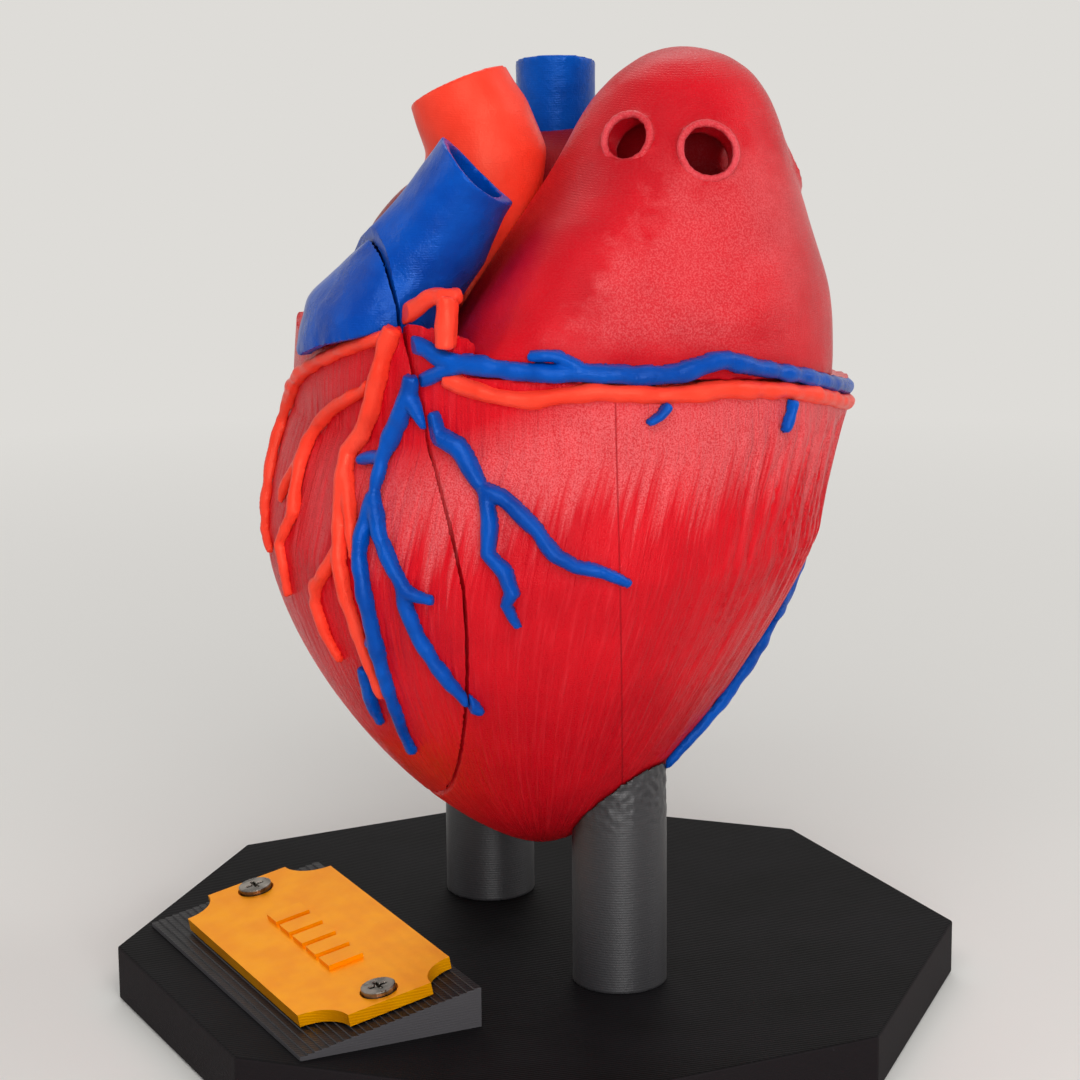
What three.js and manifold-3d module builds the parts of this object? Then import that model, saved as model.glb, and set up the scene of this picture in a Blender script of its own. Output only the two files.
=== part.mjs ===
// Human heart anatomy model: a printed heart that lifts off two posts, with a front wall that
// pulls away, on an octagonal stand with a sloped nameplate.
// Millimetres, +Z up, origin on the floor under the middle of the stand, nameplate towards -Y.
import * as THREE from 'three';
import { mergeVertices } from 'three/addons/utils/BufferGeometryUtils.js';
import Module from 'manifold-3d';

const wasm = await Module();
wasm.setup();

// Fits
const CLEARANCE = 0.3;             // gap between printed pieces
const FAR = 400;                   // edge of the blocks that cut along a plane

// Stand
const BASE_ACROSS_FLATS = 140;
const BASE_THICKNESS = 10;
const POST_RADIUS = 8.2;
const POST_SPACING = 52.5;         // centre to centre, left to right
const POST_Y = 3;

// Nameplate and the wedge under it
const WEDGE_WIDTH = 71;
const WEDGE_DEPTH = 33;
const WEDGE_FRONT_Y = -61;
const WEDGE_LOW = 0.8;
const WEDGE_HIGH = 7.3;
const PLATE_WIDTH = WEDGE_WIDTH - 6;
const PLATE_DEPTH = 28.5;
const PLATE_THICKNESS = 2.5;
const PLATE_SCOOP = 6.5;           // radius of the scooped corners
const TILE_COUNT = 5;              // blank raised tiles in place of a name
const TILE_PITCH = 6;
const TILE_WIDTH = 4.4;
const TILE_DEPTH = 6.5;
const TILE_HEIGHT = 0.8;
const SCREW_SPACING = PLATE_WIDTH - 9;
const SCREW_HEAD_RADIUS = 3;
const SCREW_HEAD_HEIGHT = 1.6;
const SCREW_RECESS = 1;            // depth of the round seat in the plate
const SCREW_SHANK_RADIUS = 1.5;
const SCREW_LENGTH = 5;
const CROSS_WIDTH = 0.7;
const CROSS_LENGTH = 3.2;
const CROSS_DEPTH = 0.9;

// Ventricles: a rounded cone from the apex up to the groove under the atria
const APEX = new THREE.Vector3(11, -4.5, 31.8);
const HEART_BULGE = new THREE.Vector2(2, -7);      // pulls the middle of the axis forward
const HEART_TOP = new THREE.Vector2(2.8, 5.7);
const WIDEST_HEIGHT = 89.3;
const WIDEST_HALF_WIDTH = 48.8;
const AXIS_HEIGHT = 109.3;
const TAPER_POWER = 1.31;
const ROUND_POWER = 1.55;
const SHOULDER_DROP = 0.9;         // how much the half width draws in above the widest level
const SHOULDER_HEIGHT = 26;
const LATERAL_STRETCH = 1.05;
const DEPTH_STRETCH = 0.987;

// Groove between ventricles and atria, a tilted plane
const GROOVE_HEIGHT = 115.1;       // on the stand's axis
const GROOVE_RISE_X = 0.111;
const GROOVE_RISE_Y = -0.101;

// Joint between the front wall and the blue cone above it, the higher of two tilted planes
const CONE_HEIGHTS = [121.2, 122];
const CONE_RISES_X = [0.32, -0.08];
const FRONT_WALL_FALL = [143, 0.9];  // plane that lowers the front wall at its far end

// Shoulder of the rear wall beside the pulmonary trunk, as high as that joint
const SHOULDER_SIZE = [19, 60, 40];
const SHOULDER_PLACE = new THREE.Matrix4().makeTranslation(25, -48, 120);
const SHOULDER_TOP = [25, -35, 129.5];
const SHOULDER_AIM = [-0.4, 0.8, 1];  // its top slopes down into the heart

// Cut between the front wall and the rear of the heart
const SEAM_OFFSET = 28.1;          // in front of the stand's axis at the widest height
const SEAM_TURN = 6.3;             // degrees, cut turned from straight across
const SEAM_LEAN = -5.9;            // degrees, cut leaning forward at the top

// Left atrium: [radius, height] round an axis that leans back
const ATRIUM_PROFILE = [
  [36, 110], [32.7, 124], [27.3, 137], [21.2, 149], [16.6, 159], [12.1, 165.5], [7, 169],
  [0, 170.6],
];
const ATRIUM_AXIS = [[18.9, 6.9], [20, 16.4], [17.3, 20.7]];
const ATRIUM_WALL = 3.5;
const ATRIUM_INSET = 0.4;          // least distance inside the wall of the ventricles
const AURICLE_AIM = -60;           // degrees round to the bulge beside the pulmonary trunk
const AURICLE_SPREAD = 42;
const AURICLE_SWELL = 0.3;         // share of the radius
const AURICLE_HEIGHTS = [140, 158];  // the bulge fades out between these
const LUNG_VEIN_RIM = 1.1;
const LUNG_VEIN_TILT = 25;
const LUNG_VEINS = [               // [degrees round, height, radius]
  [-56, 157, 3.7], [-12, 155.2, 4.3], [80, 150, 4], [110, 150, 4],
];

// Right atrium and its auricle, two domes: [radius, height]
const RIGHT_ATRIUM_CENTRE = [-20, 19];
const RIGHT_ATRIUM_PROFILE = [
  [26, 106], [25, 122], [22, 137], [17.5, 147.5], [13.5, 152.2], [9, 153.8], [0, 154],
];
const RIGHT_AURICLE_CENTRE = [-26, -9];
const RIGHT_AURICLE_PROFILE = [
  [13, 106], [13, 122], [12, 130], [9, 136.5], [5.5, 141], [3, 143.8], [0, 145],
];
const RIGHT_ATRIUM_WALL = 3.5;

// Aorta and the two great veins
const AORTA_LINE = [
  [-5.7, -13.9, 112], [-5.5, -12.4, 130], [-4.2, -8.6, 143], [-3.3, -6.8, 152], [-5.4, -8.8, 158],
  [-7.7, -10, 162.8], [-11.6, -12.3, 172],
];
const AORTA_RADII = [10.5, 10.5, 10.6, 10.4, 9.6, 8.8, 7.6];
const AORTA_WALL = 1.8;
const AORTA_END = [-7.7, -10, 162.8];
const AORTA_AIM = [-0.39, -0.23, 0.89];
const CAVA_RADIUS = 7.1;
const CAVA_WALL = 1.6;
const CAVA_CENTRE = [-21.4, 15.4];
const CAVA_TOP = 164.4;
const CAVA_AIM = [-0.24, 0.12, 0.96];  // its open end leans back
const CAVA_SEAT = 12;              // how deep it stands below the roof of the right atrium
const LOWER_CAVA_LINE = [[-25, 30, 124], [-30, 41, 120.5], [-33, 47.5, 114.5]];
const LOWER_CAVA_RADIUS = 7.5;

// Pulmonary trunk: level rings [height, x, y, half along the turn, half across it]
const TRUNK_RINGS = [
  [108, 0, -30.5, 13, 22.5], [122, 0.7, -30.4, 13.2, 22], [130, 3.5, -29.3, 13.3, 20],
  [136, 8.7, -26.3, 12.2, 14.5], [142, 12.6, -24.2, 11, 11.8], [147, 15.4, -21.9, 9.8, 10.5],
  [153, 18, -18.9, 9.1, 10], [166, 23.5, -11, 9, 10],
];
const TRUNK_TURN = 64;
const TRUNK_WALL = 2.4;
const TRUNK_END = [17.7, -18.3, 152.1];
const TRUNK_AIM = [0.24, 0.67, 0.7];

// Chambers
const RIGHT_WALL = 6;
const SEPTUM = 9;
const RIGHT_FLOOR = 58;
const RIGHT_ROOF = 106;
const RIGHT_RISES = [0.6, 4, 10, 17, 24, 34, 41, 46, 48];  // its levels above the floor
const RIGHT_TAPER = 24;            // height over which it narrows to the floor
const RIGHT_DOMING = 8;            // height over which it narrows to the roof
const LEFT_CHAMBER = [             // [height, x, y, radius]
  [48, 13, 0, 3], [55, 14, 2, 10], [68, 16, 5, 17.5], [85, 18, 9, 22], [98, 18.5, 10, 22],
  [108, 18.5, 10, 18], [130, 18.5, 10, 14],
];
const TRICUSPID = [[-20, 18, 98], [-20, 18, 114], [-20, 18, 130]];
const TRICUSPID_RADIUS = 10;
const OUTFLOW = [[-4, -29, 98], [-1, -30, 118], [0, -30, 134]];
const OUTFLOW_RADIUS = 9;
const AORTIC_MOUTH = [[10, 2, 98], [0, -8, 108], [-7, -14, 122]];
const AORTIC_MOUTH_RADIUS = 7.5;

// Magnets in the two faces of the cut: [x, height]
const MAGNET_RADIUS = 3;
const MAGNET_HEIGHT = 2;
const MAGNET_BOSS = 6;
const MAGNET_PLACES = [[12, 54], [24, 106], [-27, 104], [-23, 70]];

// Small vessels are half round strips on the heart's wall
// Each branch: width, height above the wall, then its route as [degrees round, height]
const ANTERIOR_ARTERY = [
  [2.8, 2, [[-65.3, 128.3], [-66.9, 124.4], [-69, 118], [-71, 112], [-75, 107], [-74, 103], [-73, 98],
    [-71, 92], [-69, 84], [-67, 76], [-66, 66]]],
  [1.9, 1.6, [[-74, 104], [-71, 99], [-69, 95], [-67, 90.5]]],
  [1.8, 1.5, [[-71, 93], [-73, 89], [-76, 86], [-79, 83], [-79, 77], [-77, 71]]],
];
const OUTER_ARTERY = [
  [2, 1.7, [[-66.8, 127], [-70, 126], [-75.6, 124.4], [-81.6, 122.4], [-88.6, 120], [-97.7, 116.6],
    [-107, 111.5], [-113, 105], [-110, 97], [-105, 91], [-99, 86]]],
];
const MIDDLE_ARTERY = [
  [1.9, 1.6, [[-70.5, 118.5], [-73, 117], [-78, 115], [-86, 111], [-89, 107], [-90, 103], [-89, 98],
    [-88, 93], [-92, 90], [-91, 86], [-92, 80]]],
  [1.5, 1.3, [[-90, 103], [-94, 99], [-96, 95]]],
];
const ANTERIOR_VEIN = [
  [2.9, 2, [[-60, 121], [-60.7, 118.2], [-62.7, 113.9], [-64.9, 110], [-65.7, 106.4], [-65.5, 100]]],
  [2.5, 1.7, [[-65.5, 101], [-65.8, 95.2], [-65.4, 90.7], [-63.4, 83.6], [-62.8, 78], [-62.8, 72.2],
    [-63.9, 62.4], [-66, 55.2]]],
  [2.5, 1.7, [[-65.5, 101], [-62.1, 95.2], [-58.7, 91.5], [-54.5, 86.9], [-51.5, 86], [-48.5, 85.8]]],
  [2.4, 1.6, [[-54.8, 88], [-53.9, 83], [-50.2, 76.7], [-47.1, 72.9], [-44.1, 69.5], [-42, 67.5]]],
  [2, 1.4, [[-66, 107], [-69.5, 106.5], [-71.6, 105.6]]],
  [2.2, 1.6, [[-61, 118.2], [-58.5, 115.3], [-57.1, 112.8]]],
  [1.8, 1.2, [[-63, 78], [-64.3, 76.5], [-65, 75.8]]],
];
const LOWER_VEIN = [[1.9, 1.3, [[-69, 71], [-71, 65], [-73, 60]]]];
const LATERAL_VEIN = [
  [3.2, 2.1, [[-56, 115], [-54, 112], [-50, 110.5], [-46, 107], [-42, 103]]],
  [2.6, 1.7, [[-42.5, 104], [-40, 99], [-39, 94], [-35, 91], [-33, 88], [-34, 86], [-31, 82]]],
  [2.5, 1.7, [[-43, 104], [-39, 103], [-37, 102], [-32, 99], [-28, 95.5], [-25, 93], [-21, 92],
    [-16, 91], [-11, 89]]],
];
const SEAM_VEIN = [[2.1, 1.4, [[-44.5, 70], [-41.5, 67.5], [-38.7, 65.7]]]];
const MARGINAL_VEIN_LEFT = [[1.7, 1.5, [[-8.8, 117.5], [-10.5, 115.8], [-13, 114.7]]]];
const MARGINAL_VEIN_RIGHT = [[1.7, 1.5, [[20.6, 115.3], [20, 113.5], [19, 111.8], [18.2, 110.6]]]];
const POSTERIOR_VEIN = [
  [1.9, 1.4, [[88, 104], [82, 96], [74, 88], [66, 79], [58, 70], [49, 62], [40, 56], [33, 49], [28, 44]]],
  [1.5, 1.2, [[66, 79], [60, 76], [52, 73]]],
];
const MIDDLE_VEIN = [
  [2, 1.6, [[118, 107], [116, 98], [112, 88], [104, 78], [94, 68], [82, 59]]],
  [1.6, 1.3, [[114.5, 94], [108, 90], [101, 87]]],
];
const POSTERIOR_ARTERY = [
  [2, 1.7, [[128, 106], [124, 98], [119, 88], [112, 77], [103, 67]]],
  [1.6, 1.3, [[121, 92], [132, 84], [138, 76]]],
];

// The two long vessels round the groove: [degrees round, height above the groove]
const GROOVE_SINK = 0.9;           // how deep these two sit in the wall
const GREAT_VEIN = [
  [-61, 4.6], [-58, 4.1], [-54, 2.6], [-49, 1.8], [-41, 1.1], [-33, 0.8], [-25, 1.2], [-16, 1], [-8, 1.2],
  [-1, 2.8], [4, 3.8], [10, 2.7], [17, 1.9], [28, 0.7], [44, -1.2], [60, -1.9], [80, -1.9],
];
const GREAT_VEIN_WIDTH = 3;
const GREAT_VEIN_HEIGHT = 1.9;
const GREAT_VEIN_ARM_SIZE = [2.2, 1.9];
const GREAT_VEIN_ARM = [[-49, 1.6], [-52.5, 0.6], [-55.5, -0.4], [-58.3, -1.4]];
const ATRIAL_VEIN_SIZE = [1.9, 1.8];
const ATRIAL_VEIN = [[-25, 1.2], [-28, 3], [-32, 3.8], [-36, 3.6]];
const CIRCUMFLEX = [
  [-53, -0.8], [-47, -2.3], [-41, -3.3], [-34, -3.3], [-24, -1.8], [-14, -1.9], [-6, -2], [3, -1.1],
  [10, -1.1], [18, -1.3], [30, -2.2], [44, -3.8], [60, -4.6], [80, -4.6],
];
const CIRCUMFLEX_WIDTH = 2.9;
const CIRCUMFLEX_HEIGHT = 1.9;
const RIGHT_ARTERY = [
  [-124, 0], [-140, -1.2], [-158, -1.6], [-178, -1.4], [-198, -1.6], [-214, -1.8], [-228, -2],
];
const RIGHT_ARTERY_WIDTH = 2.6;
const RIGHT_ARTERY_HEIGHT = 2;

// Left main artery: a round rod out from between trunk and atrium, which forks
const LEFT_MAIN_RADIUS = 1.3;
const LEFT_MAIN_LINE = [
  [31.5, -29, 134.2], [32.4, -31.4, 134.6], [29.8, -32.8, 134], [26.8, -34.3, 132], [24.4, -35.4, 129.8],
  [23, -36, 127.8],
];
const LEFT_MAIN_DROP_RADIUS = 1.55;
const LEFT_MAIN_DROP = [[32.8, -31.2, 134.2], [33.2, -31.5, 132], [33.6, -32, 126.4]];

// Colours
const RED = 0xc8142a;
const DARK_RED = 0x8c0f1c;
const CORAL = 0xff4b3c;
const BLUE = 0x0a50be;
const BLACK = 0x1e1c1e;
const GOLD = 0xf5a50a;
const STEEL = 0x6b655e;

const degrees = THREE.MathUtils.degToRad;
const model = new THREE.Group();

// Solids: every shape is a closed manifold, and becomes a mesh only at the end

function solidOf(geometry, matrix) {
  const plain = geometry.clone();
  plain.deleteAttribute('normal');
  plain.deleteAttribute('uv');
  const merged = mergeVertices(plain, 1e-4);
  if (matrix) merged.applyMatrix4(matrix);
  return new wasm.Manifold(new wasm.Mesh({
    numProp: 3,
    vertProperties: new Float32Array(merged.attributes.position.array),
    triVerts: new Uint32Array(merged.index.array),
  }));
}

function addPiece(name, solid, color, roughness, metalness = 0) {
  const mesh = solid.getMesh();
  const geometry = new THREE.BufferGeometry();
  geometry.setAttribute('position', new THREE.BufferAttribute(new Float32Array(mesh.vertProperties), 3));
  geometry.setIndex(new THREE.BufferAttribute(new Uint32Array(mesh.triVerts), 1));
  geometry.computeVertexNormals();
  const piece = new THREE.Mesh(geometry, new THREE.MeshStandardMaterial({ color, roughness, metalness }));
  piece.name = name;
  model.add(piece);
}

function vector([x, y, z]) {
  return new THREE.Vector3(x, y, z);
}

// Closes a stack of rings, each a list of points in the same order, into one geometry
function ringsGeometry(rings) {
  const sides = rings[0].length;
  const points = rings.flat();
  const first = points.length;
  points.push(centreOf(rings[0]), centreOf(rings[rings.length - 1]));
  const faces = [];
  for (let i = 0; i < rings.length - 1; i++) {
    for (let j = 0; j < sides; j++) {
      const a = i * sides + j;
      const b = i * sides + (j + 1) % sides;
      faces.push(a, b, b + sides, a, b + sides, a + sides);
    }
  }
  const last = (rings.length - 1) * sides;
  for (let j = 0; j < sides; j++) {
    const next = (j + 1) % sides;
    faces.push(first, next, j, first + 1, last + j, last + next);
  }
  const geometry = new THREE.BufferGeometry().setFromPoints(points);
  geometry.setIndex(faces);
  return geometry;
}

function centreOf(ring) {
  const sum = new THREE.Vector3();
  for (const point of ring) sum.add(point);
  return sum.divideScalar(ring.length);
}

// Level ring round a centre; the half widths are along and across the turned X axis
function levelRing(x, y, z, halfAlong, halfAcross, sides, turn = 0) {
  const ring = [];
  for (let j = 0; j < sides; j++) {
    const angle = 2 * Math.PI * j / sides;
    const point = new THREE.Vector3(halfAlong * Math.cos(angle), halfAcross * Math.sin(angle), 0);
    ring.push(point.applyAxisAngle(new THREE.Vector3(0, 0, 1), degrees(turn)).add(vector([x, y, z])));
  }
  return ring;
}

// Round rod along a smooth line through points, with one radius or one at each point
function rod(points, radius, sides, steps) {
  const line = new THREE.CatmullRomCurve3(points.map(vector));
  const frames = line.computeFrenetFrames(steps, false);
  const radii = Array.isArray(radius) ? radius : points.map(() => radius);
  const rings = [];
  for (let i = 0; i <= steps; i++) {
    const centre = line.getPointAt(i / steps);
    const place = line.getUtoTmapping(i / steps) * (radii.length - 1);
    const before = Math.min(Math.floor(place), radii.length - 2);
    const size = THREE.MathUtils.lerp(radii[before], radii[before + 1], place - before);
    const ring = [];
    for (let j = 0; j < sides; j++) {
      const angle = 2 * Math.PI * j / sides;
      const across = frames.normals[i].clone().multiplyScalar(Math.cos(angle) * size);
      const along = frames.binormals[i].clone().multiplyScalar(Math.sin(angle) * size);
      ring.push(centre.clone().add(across).add(along));
    }
    rings.push(ring);
  }
  return solidOf(ringsGeometry(rings));
}

// Dome of level rings from a [radius, height] profile whose last radius is 0
function dome(profilePoints, centreAt, grow, sides, levels, shape = (radius) => radius) {
  const profile = new THREE.SplineCurve(profilePoints.map(([radius, z]) => new THREE.Vector2(radius, z)));
  const foot = profilePoints[0][1];
  const top = profilePoints[profilePoints.length - 1][1];
  const rings = [];
  for (let i = 0; i < levels; i++) {
    const at = profile.getPointAt(i / (levels - 0.5));
    const share = (at.y - foot) / (top - foot);
    const centre = centreAt(share);
    const ring = [];
    for (let j = 0; j < sides; j++) {
      const angle = 2 * Math.PI * j / sides;
      const radius = Math.max(shape(at.x, angle, centre, at.y) + grow, 1);
      const x = centre.x + radius * Math.cos(angle);
      ring.push(new THREE.Vector3(x, centre.y + radius * Math.sin(angle), at.y + grow * share));
    }
    rings.push(ring);
  }
  return solidOf(ringsGeometry(rings));
}

function box(width, depth, height, matrix) {
  return solidOf(new THREE.BoxGeometry(width, depth, height), matrix);
}

// The half space behind a plane through a point, as a large block
function blockBehind(point, normal) {
  const turn = new THREE.Quaternion().setFromUnitVectors(new THREE.Vector3(0, 0, 1), normal);
  const centre = point.clone().addScaledVector(normal, -FAR / 2);
  const place = new THREE.Matrix4().compose(centre, turn, new THREE.Vector3(1, 1, 1));
  return solidOf(new THREE.BoxGeometry(FAR, FAR, FAR), place);
}

const grooveNormal = new THREE.Vector3(-GROOVE_RISE_X, -GROOVE_RISE_Y, 1).normalize();
const seamNormal = new THREE.Vector3(0, -1, 0)
  .applyAxisAngle(new THREE.Vector3(1, 0, 0), degrees(-SEAM_LEAN))
  .applyAxisAngle(new THREE.Vector3(0, 0, 1), degrees(-SEAM_TURN));
const seamPoint = new THREE.Vector3(0, 0, WIDEST_HEIGHT).addScaledVector(seamNormal, SEAM_OFFSET);

function belowGroove(lift) {
  return blockBehind(new THREE.Vector3(0, 0, GROOVE_HEIGHT + lift), grooveNormal);
}

function belowCone(lift) {
  const [right, left] = CONE_RISES_X.map((rise, i) =>
    blockBehind(new THREE.Vector3(0, 0, CONE_HEIGHTS[i] + lift), new THREE.Vector3(-rise, 0, 1).normalize()));
  const [height, rise] = FRONT_WALL_FALL;
  const farEnd = blockBehind(
    new THREE.Vector3(0, 0, height + lift), new THREE.Vector3(-rise, 0, 1).normalize());
  return right.add(left).intersect(farEnd);
}

function behindSeam(shift) {
  return blockBehind(seamPoint.clone().addScaledVector(seamNormal, shift), seamNormal);
}

function grooveHeightAt(point) {
  return GROOVE_HEIGHT + GROOVE_RISE_X * point.x + GROOVE_RISE_Y * point.y;
}

// Outer wall of the ventricles

const ventricleAxis = new THREE.QuadraticBezierCurve(
  new THREE.Vector2(APEX.x, APEX.y), HEART_BULGE, HEART_TOP);

function ventricleHalfWidth(z) {
  if (z >= WIDEST_HEIGHT) {
    return WIDEST_HALF_WIDTH - SHOULDER_DROP * ((z - WIDEST_HEIGHT) / SHOULDER_HEIGHT) ** 2;
  }
  const left = Math.min((WIDEST_HEIGHT - z) / (WIDEST_HEIGHT - APEX.z), 1);
  return WIDEST_HALF_WIDTH * (1 - left ** TAPER_POWER) ** (1 / ROUND_POWER);
}

function ventricleCentre(z) {
  return ventricleAxis.getPoint(THREE.MathUtils.clamp((z - APEX.z) / (AXIS_HEIGHT - APEX.z), 0, 1));
}

function ventricleRing(z, grow, sides, share = 1) {
  const centre = ventricleCentre(z);
  const half = ventricleHalfWidth(z);
  const halfX = (half * LATERAL_STRETCH + grow) * share;
  const halfY = (half * DEPTH_STRETCH + grow) * share;
  return levelRing(centre.x, centre.y, z, halfX, halfY, sides);
}

function ventricleShape(grow, sides, levels) {
  const rings = [];
  for (let i = 0; i < levels; i++) {
    const z = APEX.z + (WIDEST_HEIGHT - APEX.z) * ((i + 0.3) / levels) ** 1.7;
    rings.push(ventricleRing(z, grow, sides));
  }
  for (const share of [0, 0.4, 0.75]) {
    rings.push(ventricleRing(THREE.MathUtils.lerp(WIDEST_HEIGHT, AXIS_HEIGHT, share), grow, sides));
  }
  for (const rise of [0, 6, 25]) rings.push(ventricleRing(AXIS_HEIGHT + rise, grow, sides));
  for (const point of rings[0]) point.z -= grow;
  return solidOf(ringsGeometry(rings));
}

// Point on the outer wall at an angle and height
function wallPoint(angle, z) {
  const centre = ventricleCentre(z);
  const half = ventricleHalfWidth(z);
  const x = centre.x + half * LATERAL_STRETCH * Math.cos(degrees(angle));
  const y = centre.y + half * DEPTH_STRETCH * Math.sin(degrees(angle));
  return new THREE.Vector3(x, y, z);
}

function wallNormal(angle, z) {
  const round = wallPoint(angle + 0.5, z).sub(wallPoint(angle - 0.5, z));
  const up = wallPoint(angle, z + 0.2).sub(wallPoint(angle, z - 0.2));
  return round.cross(up).normalize();
}

// Height on the wall that lies a rise above the groove's plane
function heightByGroove(angle, rise) {
  let z = GROOVE_HEIGHT;
  for (let i = 0; i < 4; i++) z = grooveHeightAt(wallPoint(angle, z)) + rise;
  return z;
}

// Half round strip along a route on the wall, tapering over its last third
const STRIP_ARC = 5;
const STRIP_STEP = 4.5;

function strip(width, height, route, { lift = CLEARANCE, taper = 0.55, spread = 0 } = {}) {
  const path = new THREE.SplineCurve(route.map(([angle, z]) => new THREE.Vector2(angle, z)));
  const points = route.map(([angle, z]) => wallPoint(angle, z));
  const length = points.slice(1).reduce((sum, point, i) => sum + point.distanceTo(points[i]), 0);
  const steps = Math.max(4, Math.ceil(length / STRIP_STEP));
  const rings = [];
  for (let i = 0; i <= steps; i++) {
    const share = i / steps;
    const at = path.getPoint(share);
    const before = path.getPoint(Math.max(share - 0.01, 0));
    const after = path.getPoint(Math.min(share + 0.01, 1));
    const tangent = wallPoint(after.x, after.y).sub(wallPoint(before.x, before.y)).normalize();
    const normal = wallNormal(at.x, at.y);
    const side = normal.clone().cross(tangent).normalize();
    const size = 1 - (1 - taper) * Math.max(0, (share - 0.6) / 0.4);
    const [halfWidth, tall] = [size * width / 2 + spread, size * height + spread];
    rings.push(stripRing(wallPoint(at.x, at.y), normal, side, halfWidth, tall, lift));
  }
  return solidOf(ringsGeometry(rings));
}

function stripRing(foot, normal, side, halfWidth, height, lift) {
  const ring = [];
  for (let j = 0; j <= STRIP_ARC; j++) {
    const angle = Math.PI * j / STRIP_ARC;
    const point = foot.clone().addScaledVector(normal, lift + height * Math.sin(angle));
    ring.push(point.addScaledVector(side, halfWidth * Math.cos(angle)));
  }
  return ring;
}

function stripTree(branches, options = {}) {
  const solids = branches.map(([width, height, route]) => strip(width, height, route, options));
  return solids.reduce((sum, solid) => sum.add(solid));
}

function grooveStrip(width, height, route, options = {}) {
  const steep = route.map(([angle, rise]) => [angle, heightByGroove(angle, rise)]);
  return strip(width, height, steep, { taper: 0.8, ...options });
}

const sunk = { lift: CLEARANCE - GROOVE_SINK };
const seat = { lift: -GROOVE_SINK, spread: CLEARANCE };
const greatVein = grooveStrip(GREAT_VEIN_WIDTH, GREAT_VEIN_HEIGHT, GREAT_VEIN, sunk)
  .add(grooveStrip(...GREAT_VEIN_ARM_SIZE, GREAT_VEIN_ARM, sunk))
  .add(grooveStrip(...ATRIAL_VEIN_SIZE, ATRIAL_VEIN, sunk));
const greatVeinSeat = grooveStrip(GREAT_VEIN_WIDTH, GREAT_VEIN_HEIGHT, GREAT_VEIN, seat)
  .add(grooveStrip(...GREAT_VEIN_ARM_SIZE, GREAT_VEIN_ARM, seat))
  .add(grooveStrip(...ATRIAL_VEIN_SIZE, ATRIAL_VEIN, seat));
const over = { lift: CLEARANCE - GROOVE_SINK, spread: CLEARANCE };
const greatVeinClear = greatVeinSeat
  .add(grooveStrip(GREAT_VEIN_WIDTH, GREAT_VEIN_HEIGHT, GREAT_VEIN, over))
  .add(grooveStrip(...GREAT_VEIN_ARM_SIZE, GREAT_VEIN_ARM, over));
const circumflex = grooveStrip(CIRCUMFLEX_WIDTH, CIRCUMFLEX_HEIGHT, CIRCUMFLEX, sunk);
const circumflexSeat = grooveStrip(CIRCUMFLEX_WIDTH, CIRCUMFLEX_HEIGHT, CIRCUMFLEX, seat);

// Stand

function octagonShape() {
  const corner = BASE_ACROSS_FLATS / 2 / Math.cos(Math.PI / 8);
  const shape = new THREE.Shape();
  for (let i = 0; i < 8; i++) {
    const angle = Math.PI / 8 + i * Math.PI / 4;
    const place = [corner * Math.cos(angle), corner * Math.sin(angle)];
    if (i === 0) shape.moveTo(...place);
    else shape.lineTo(...place);
  }
  return shape;
}

const slab = { depth: BASE_THICKNESS, bevelEnabled: false };
const basePlate = solidOf(new THREE.ExtrudeGeometry(octagonShape(), slab));
addPiece('base_plate', basePlate, BLACK, 0.6);

const heartClear = ventricleShape(CLEARANCE, 52, 14);
const posts = { support_post_left: -POST_SPACING / 2, support_post_right: POST_SPACING / 2 };

function postShape(x, grow) {
  const tall = WIDEST_HEIGHT - BASE_THICKNESS;
  const turn = new THREE.Matrix4().makeRotationX(Math.PI / 2);
  turn.setPosition(x, POST_Y, BASE_THICKNESS + tall / 2);
  return solidOf(new THREE.CylinderGeometry(POST_RADIUS + grow, POST_RADIUS + grow, tall, 32), turn);
}

for (const [name, x] of Object.entries(posts)) {
  addPiece(name, postShape(x, 0).subtract(heartClear), BLACK, 0.55);
}
const postClear = postShape(posts.support_post_right, CLEARANCE);

// The wedge's slope carries a frame: X across, Y up the slope, Z out of it
const slopeAngle = Math.atan2(WEDGE_HIGH - WEDGE_LOW, WEDGE_DEPTH);
const slopeLength = Math.hypot(WEDGE_HIGH - WEDGE_LOW, WEDGE_DEPTH);
const slopeFrame = new THREE.Matrix4().makeRotationX(slopeAngle);
slopeFrame.setPosition(0, WEDGE_FRONT_Y, BASE_THICKNESS + WEDGE_LOW);
const plateMiddle = slopeLength / 2 + 1.5;

function onSlope(x, up, out) {
  return slopeFrame.clone().multiply(new THREE.Matrix4().makeTranslation(x, up, out));
}

function cylinderOnSlope(x, radius, from, to, sides) {
  const stand = new THREE.Matrix4().makeRotationX(Math.PI / 2);
  const place = onSlope(x, plateMiddle, (from + to) / 2).multiply(stand);
  return solidOf(new THREE.CylinderGeometry(radius, radius, to - from, sides), place);
}

const screwPlaces = [-SCREW_SPACING / 2, SCREW_SPACING / 2];
const screwSeat = PLATE_THICKNESS - SCREW_RECESS;

function wedge() {
  const side = new THREE.Shape();
  side.moveTo(0, 0);
  side.lineTo(WEDGE_DEPTH, 0);
  side.lineTo(WEDGE_DEPTH, WEDGE_HIGH);
  side.lineTo(0, WEDGE_LOW);
  const place = new THREE.Matrix4().makeBasis(
    new THREE.Vector3(0, 1, 0), new THREE.Vector3(0, 0, 1), new THREE.Vector3(1, 0, 0));
  place.setPosition(-WEDGE_WIDTH / 2, WEDGE_FRONT_Y, BASE_THICKNESS);
  let solid = solidOf(new THREE.ExtrudeGeometry(side, { depth: WEDGE_WIDTH, bevelEnabled: false }), place);
  for (const x of screwPlaces) {
    const depth = SCREW_LENGTH - screwSeat + CLEARANCE;
    solid = solid.subtract(cylinderOnSlope(x, SCREW_SHANK_RADIUS + CLEARANCE, -depth, 1, 16));
  }
  return solid;
}

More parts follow.
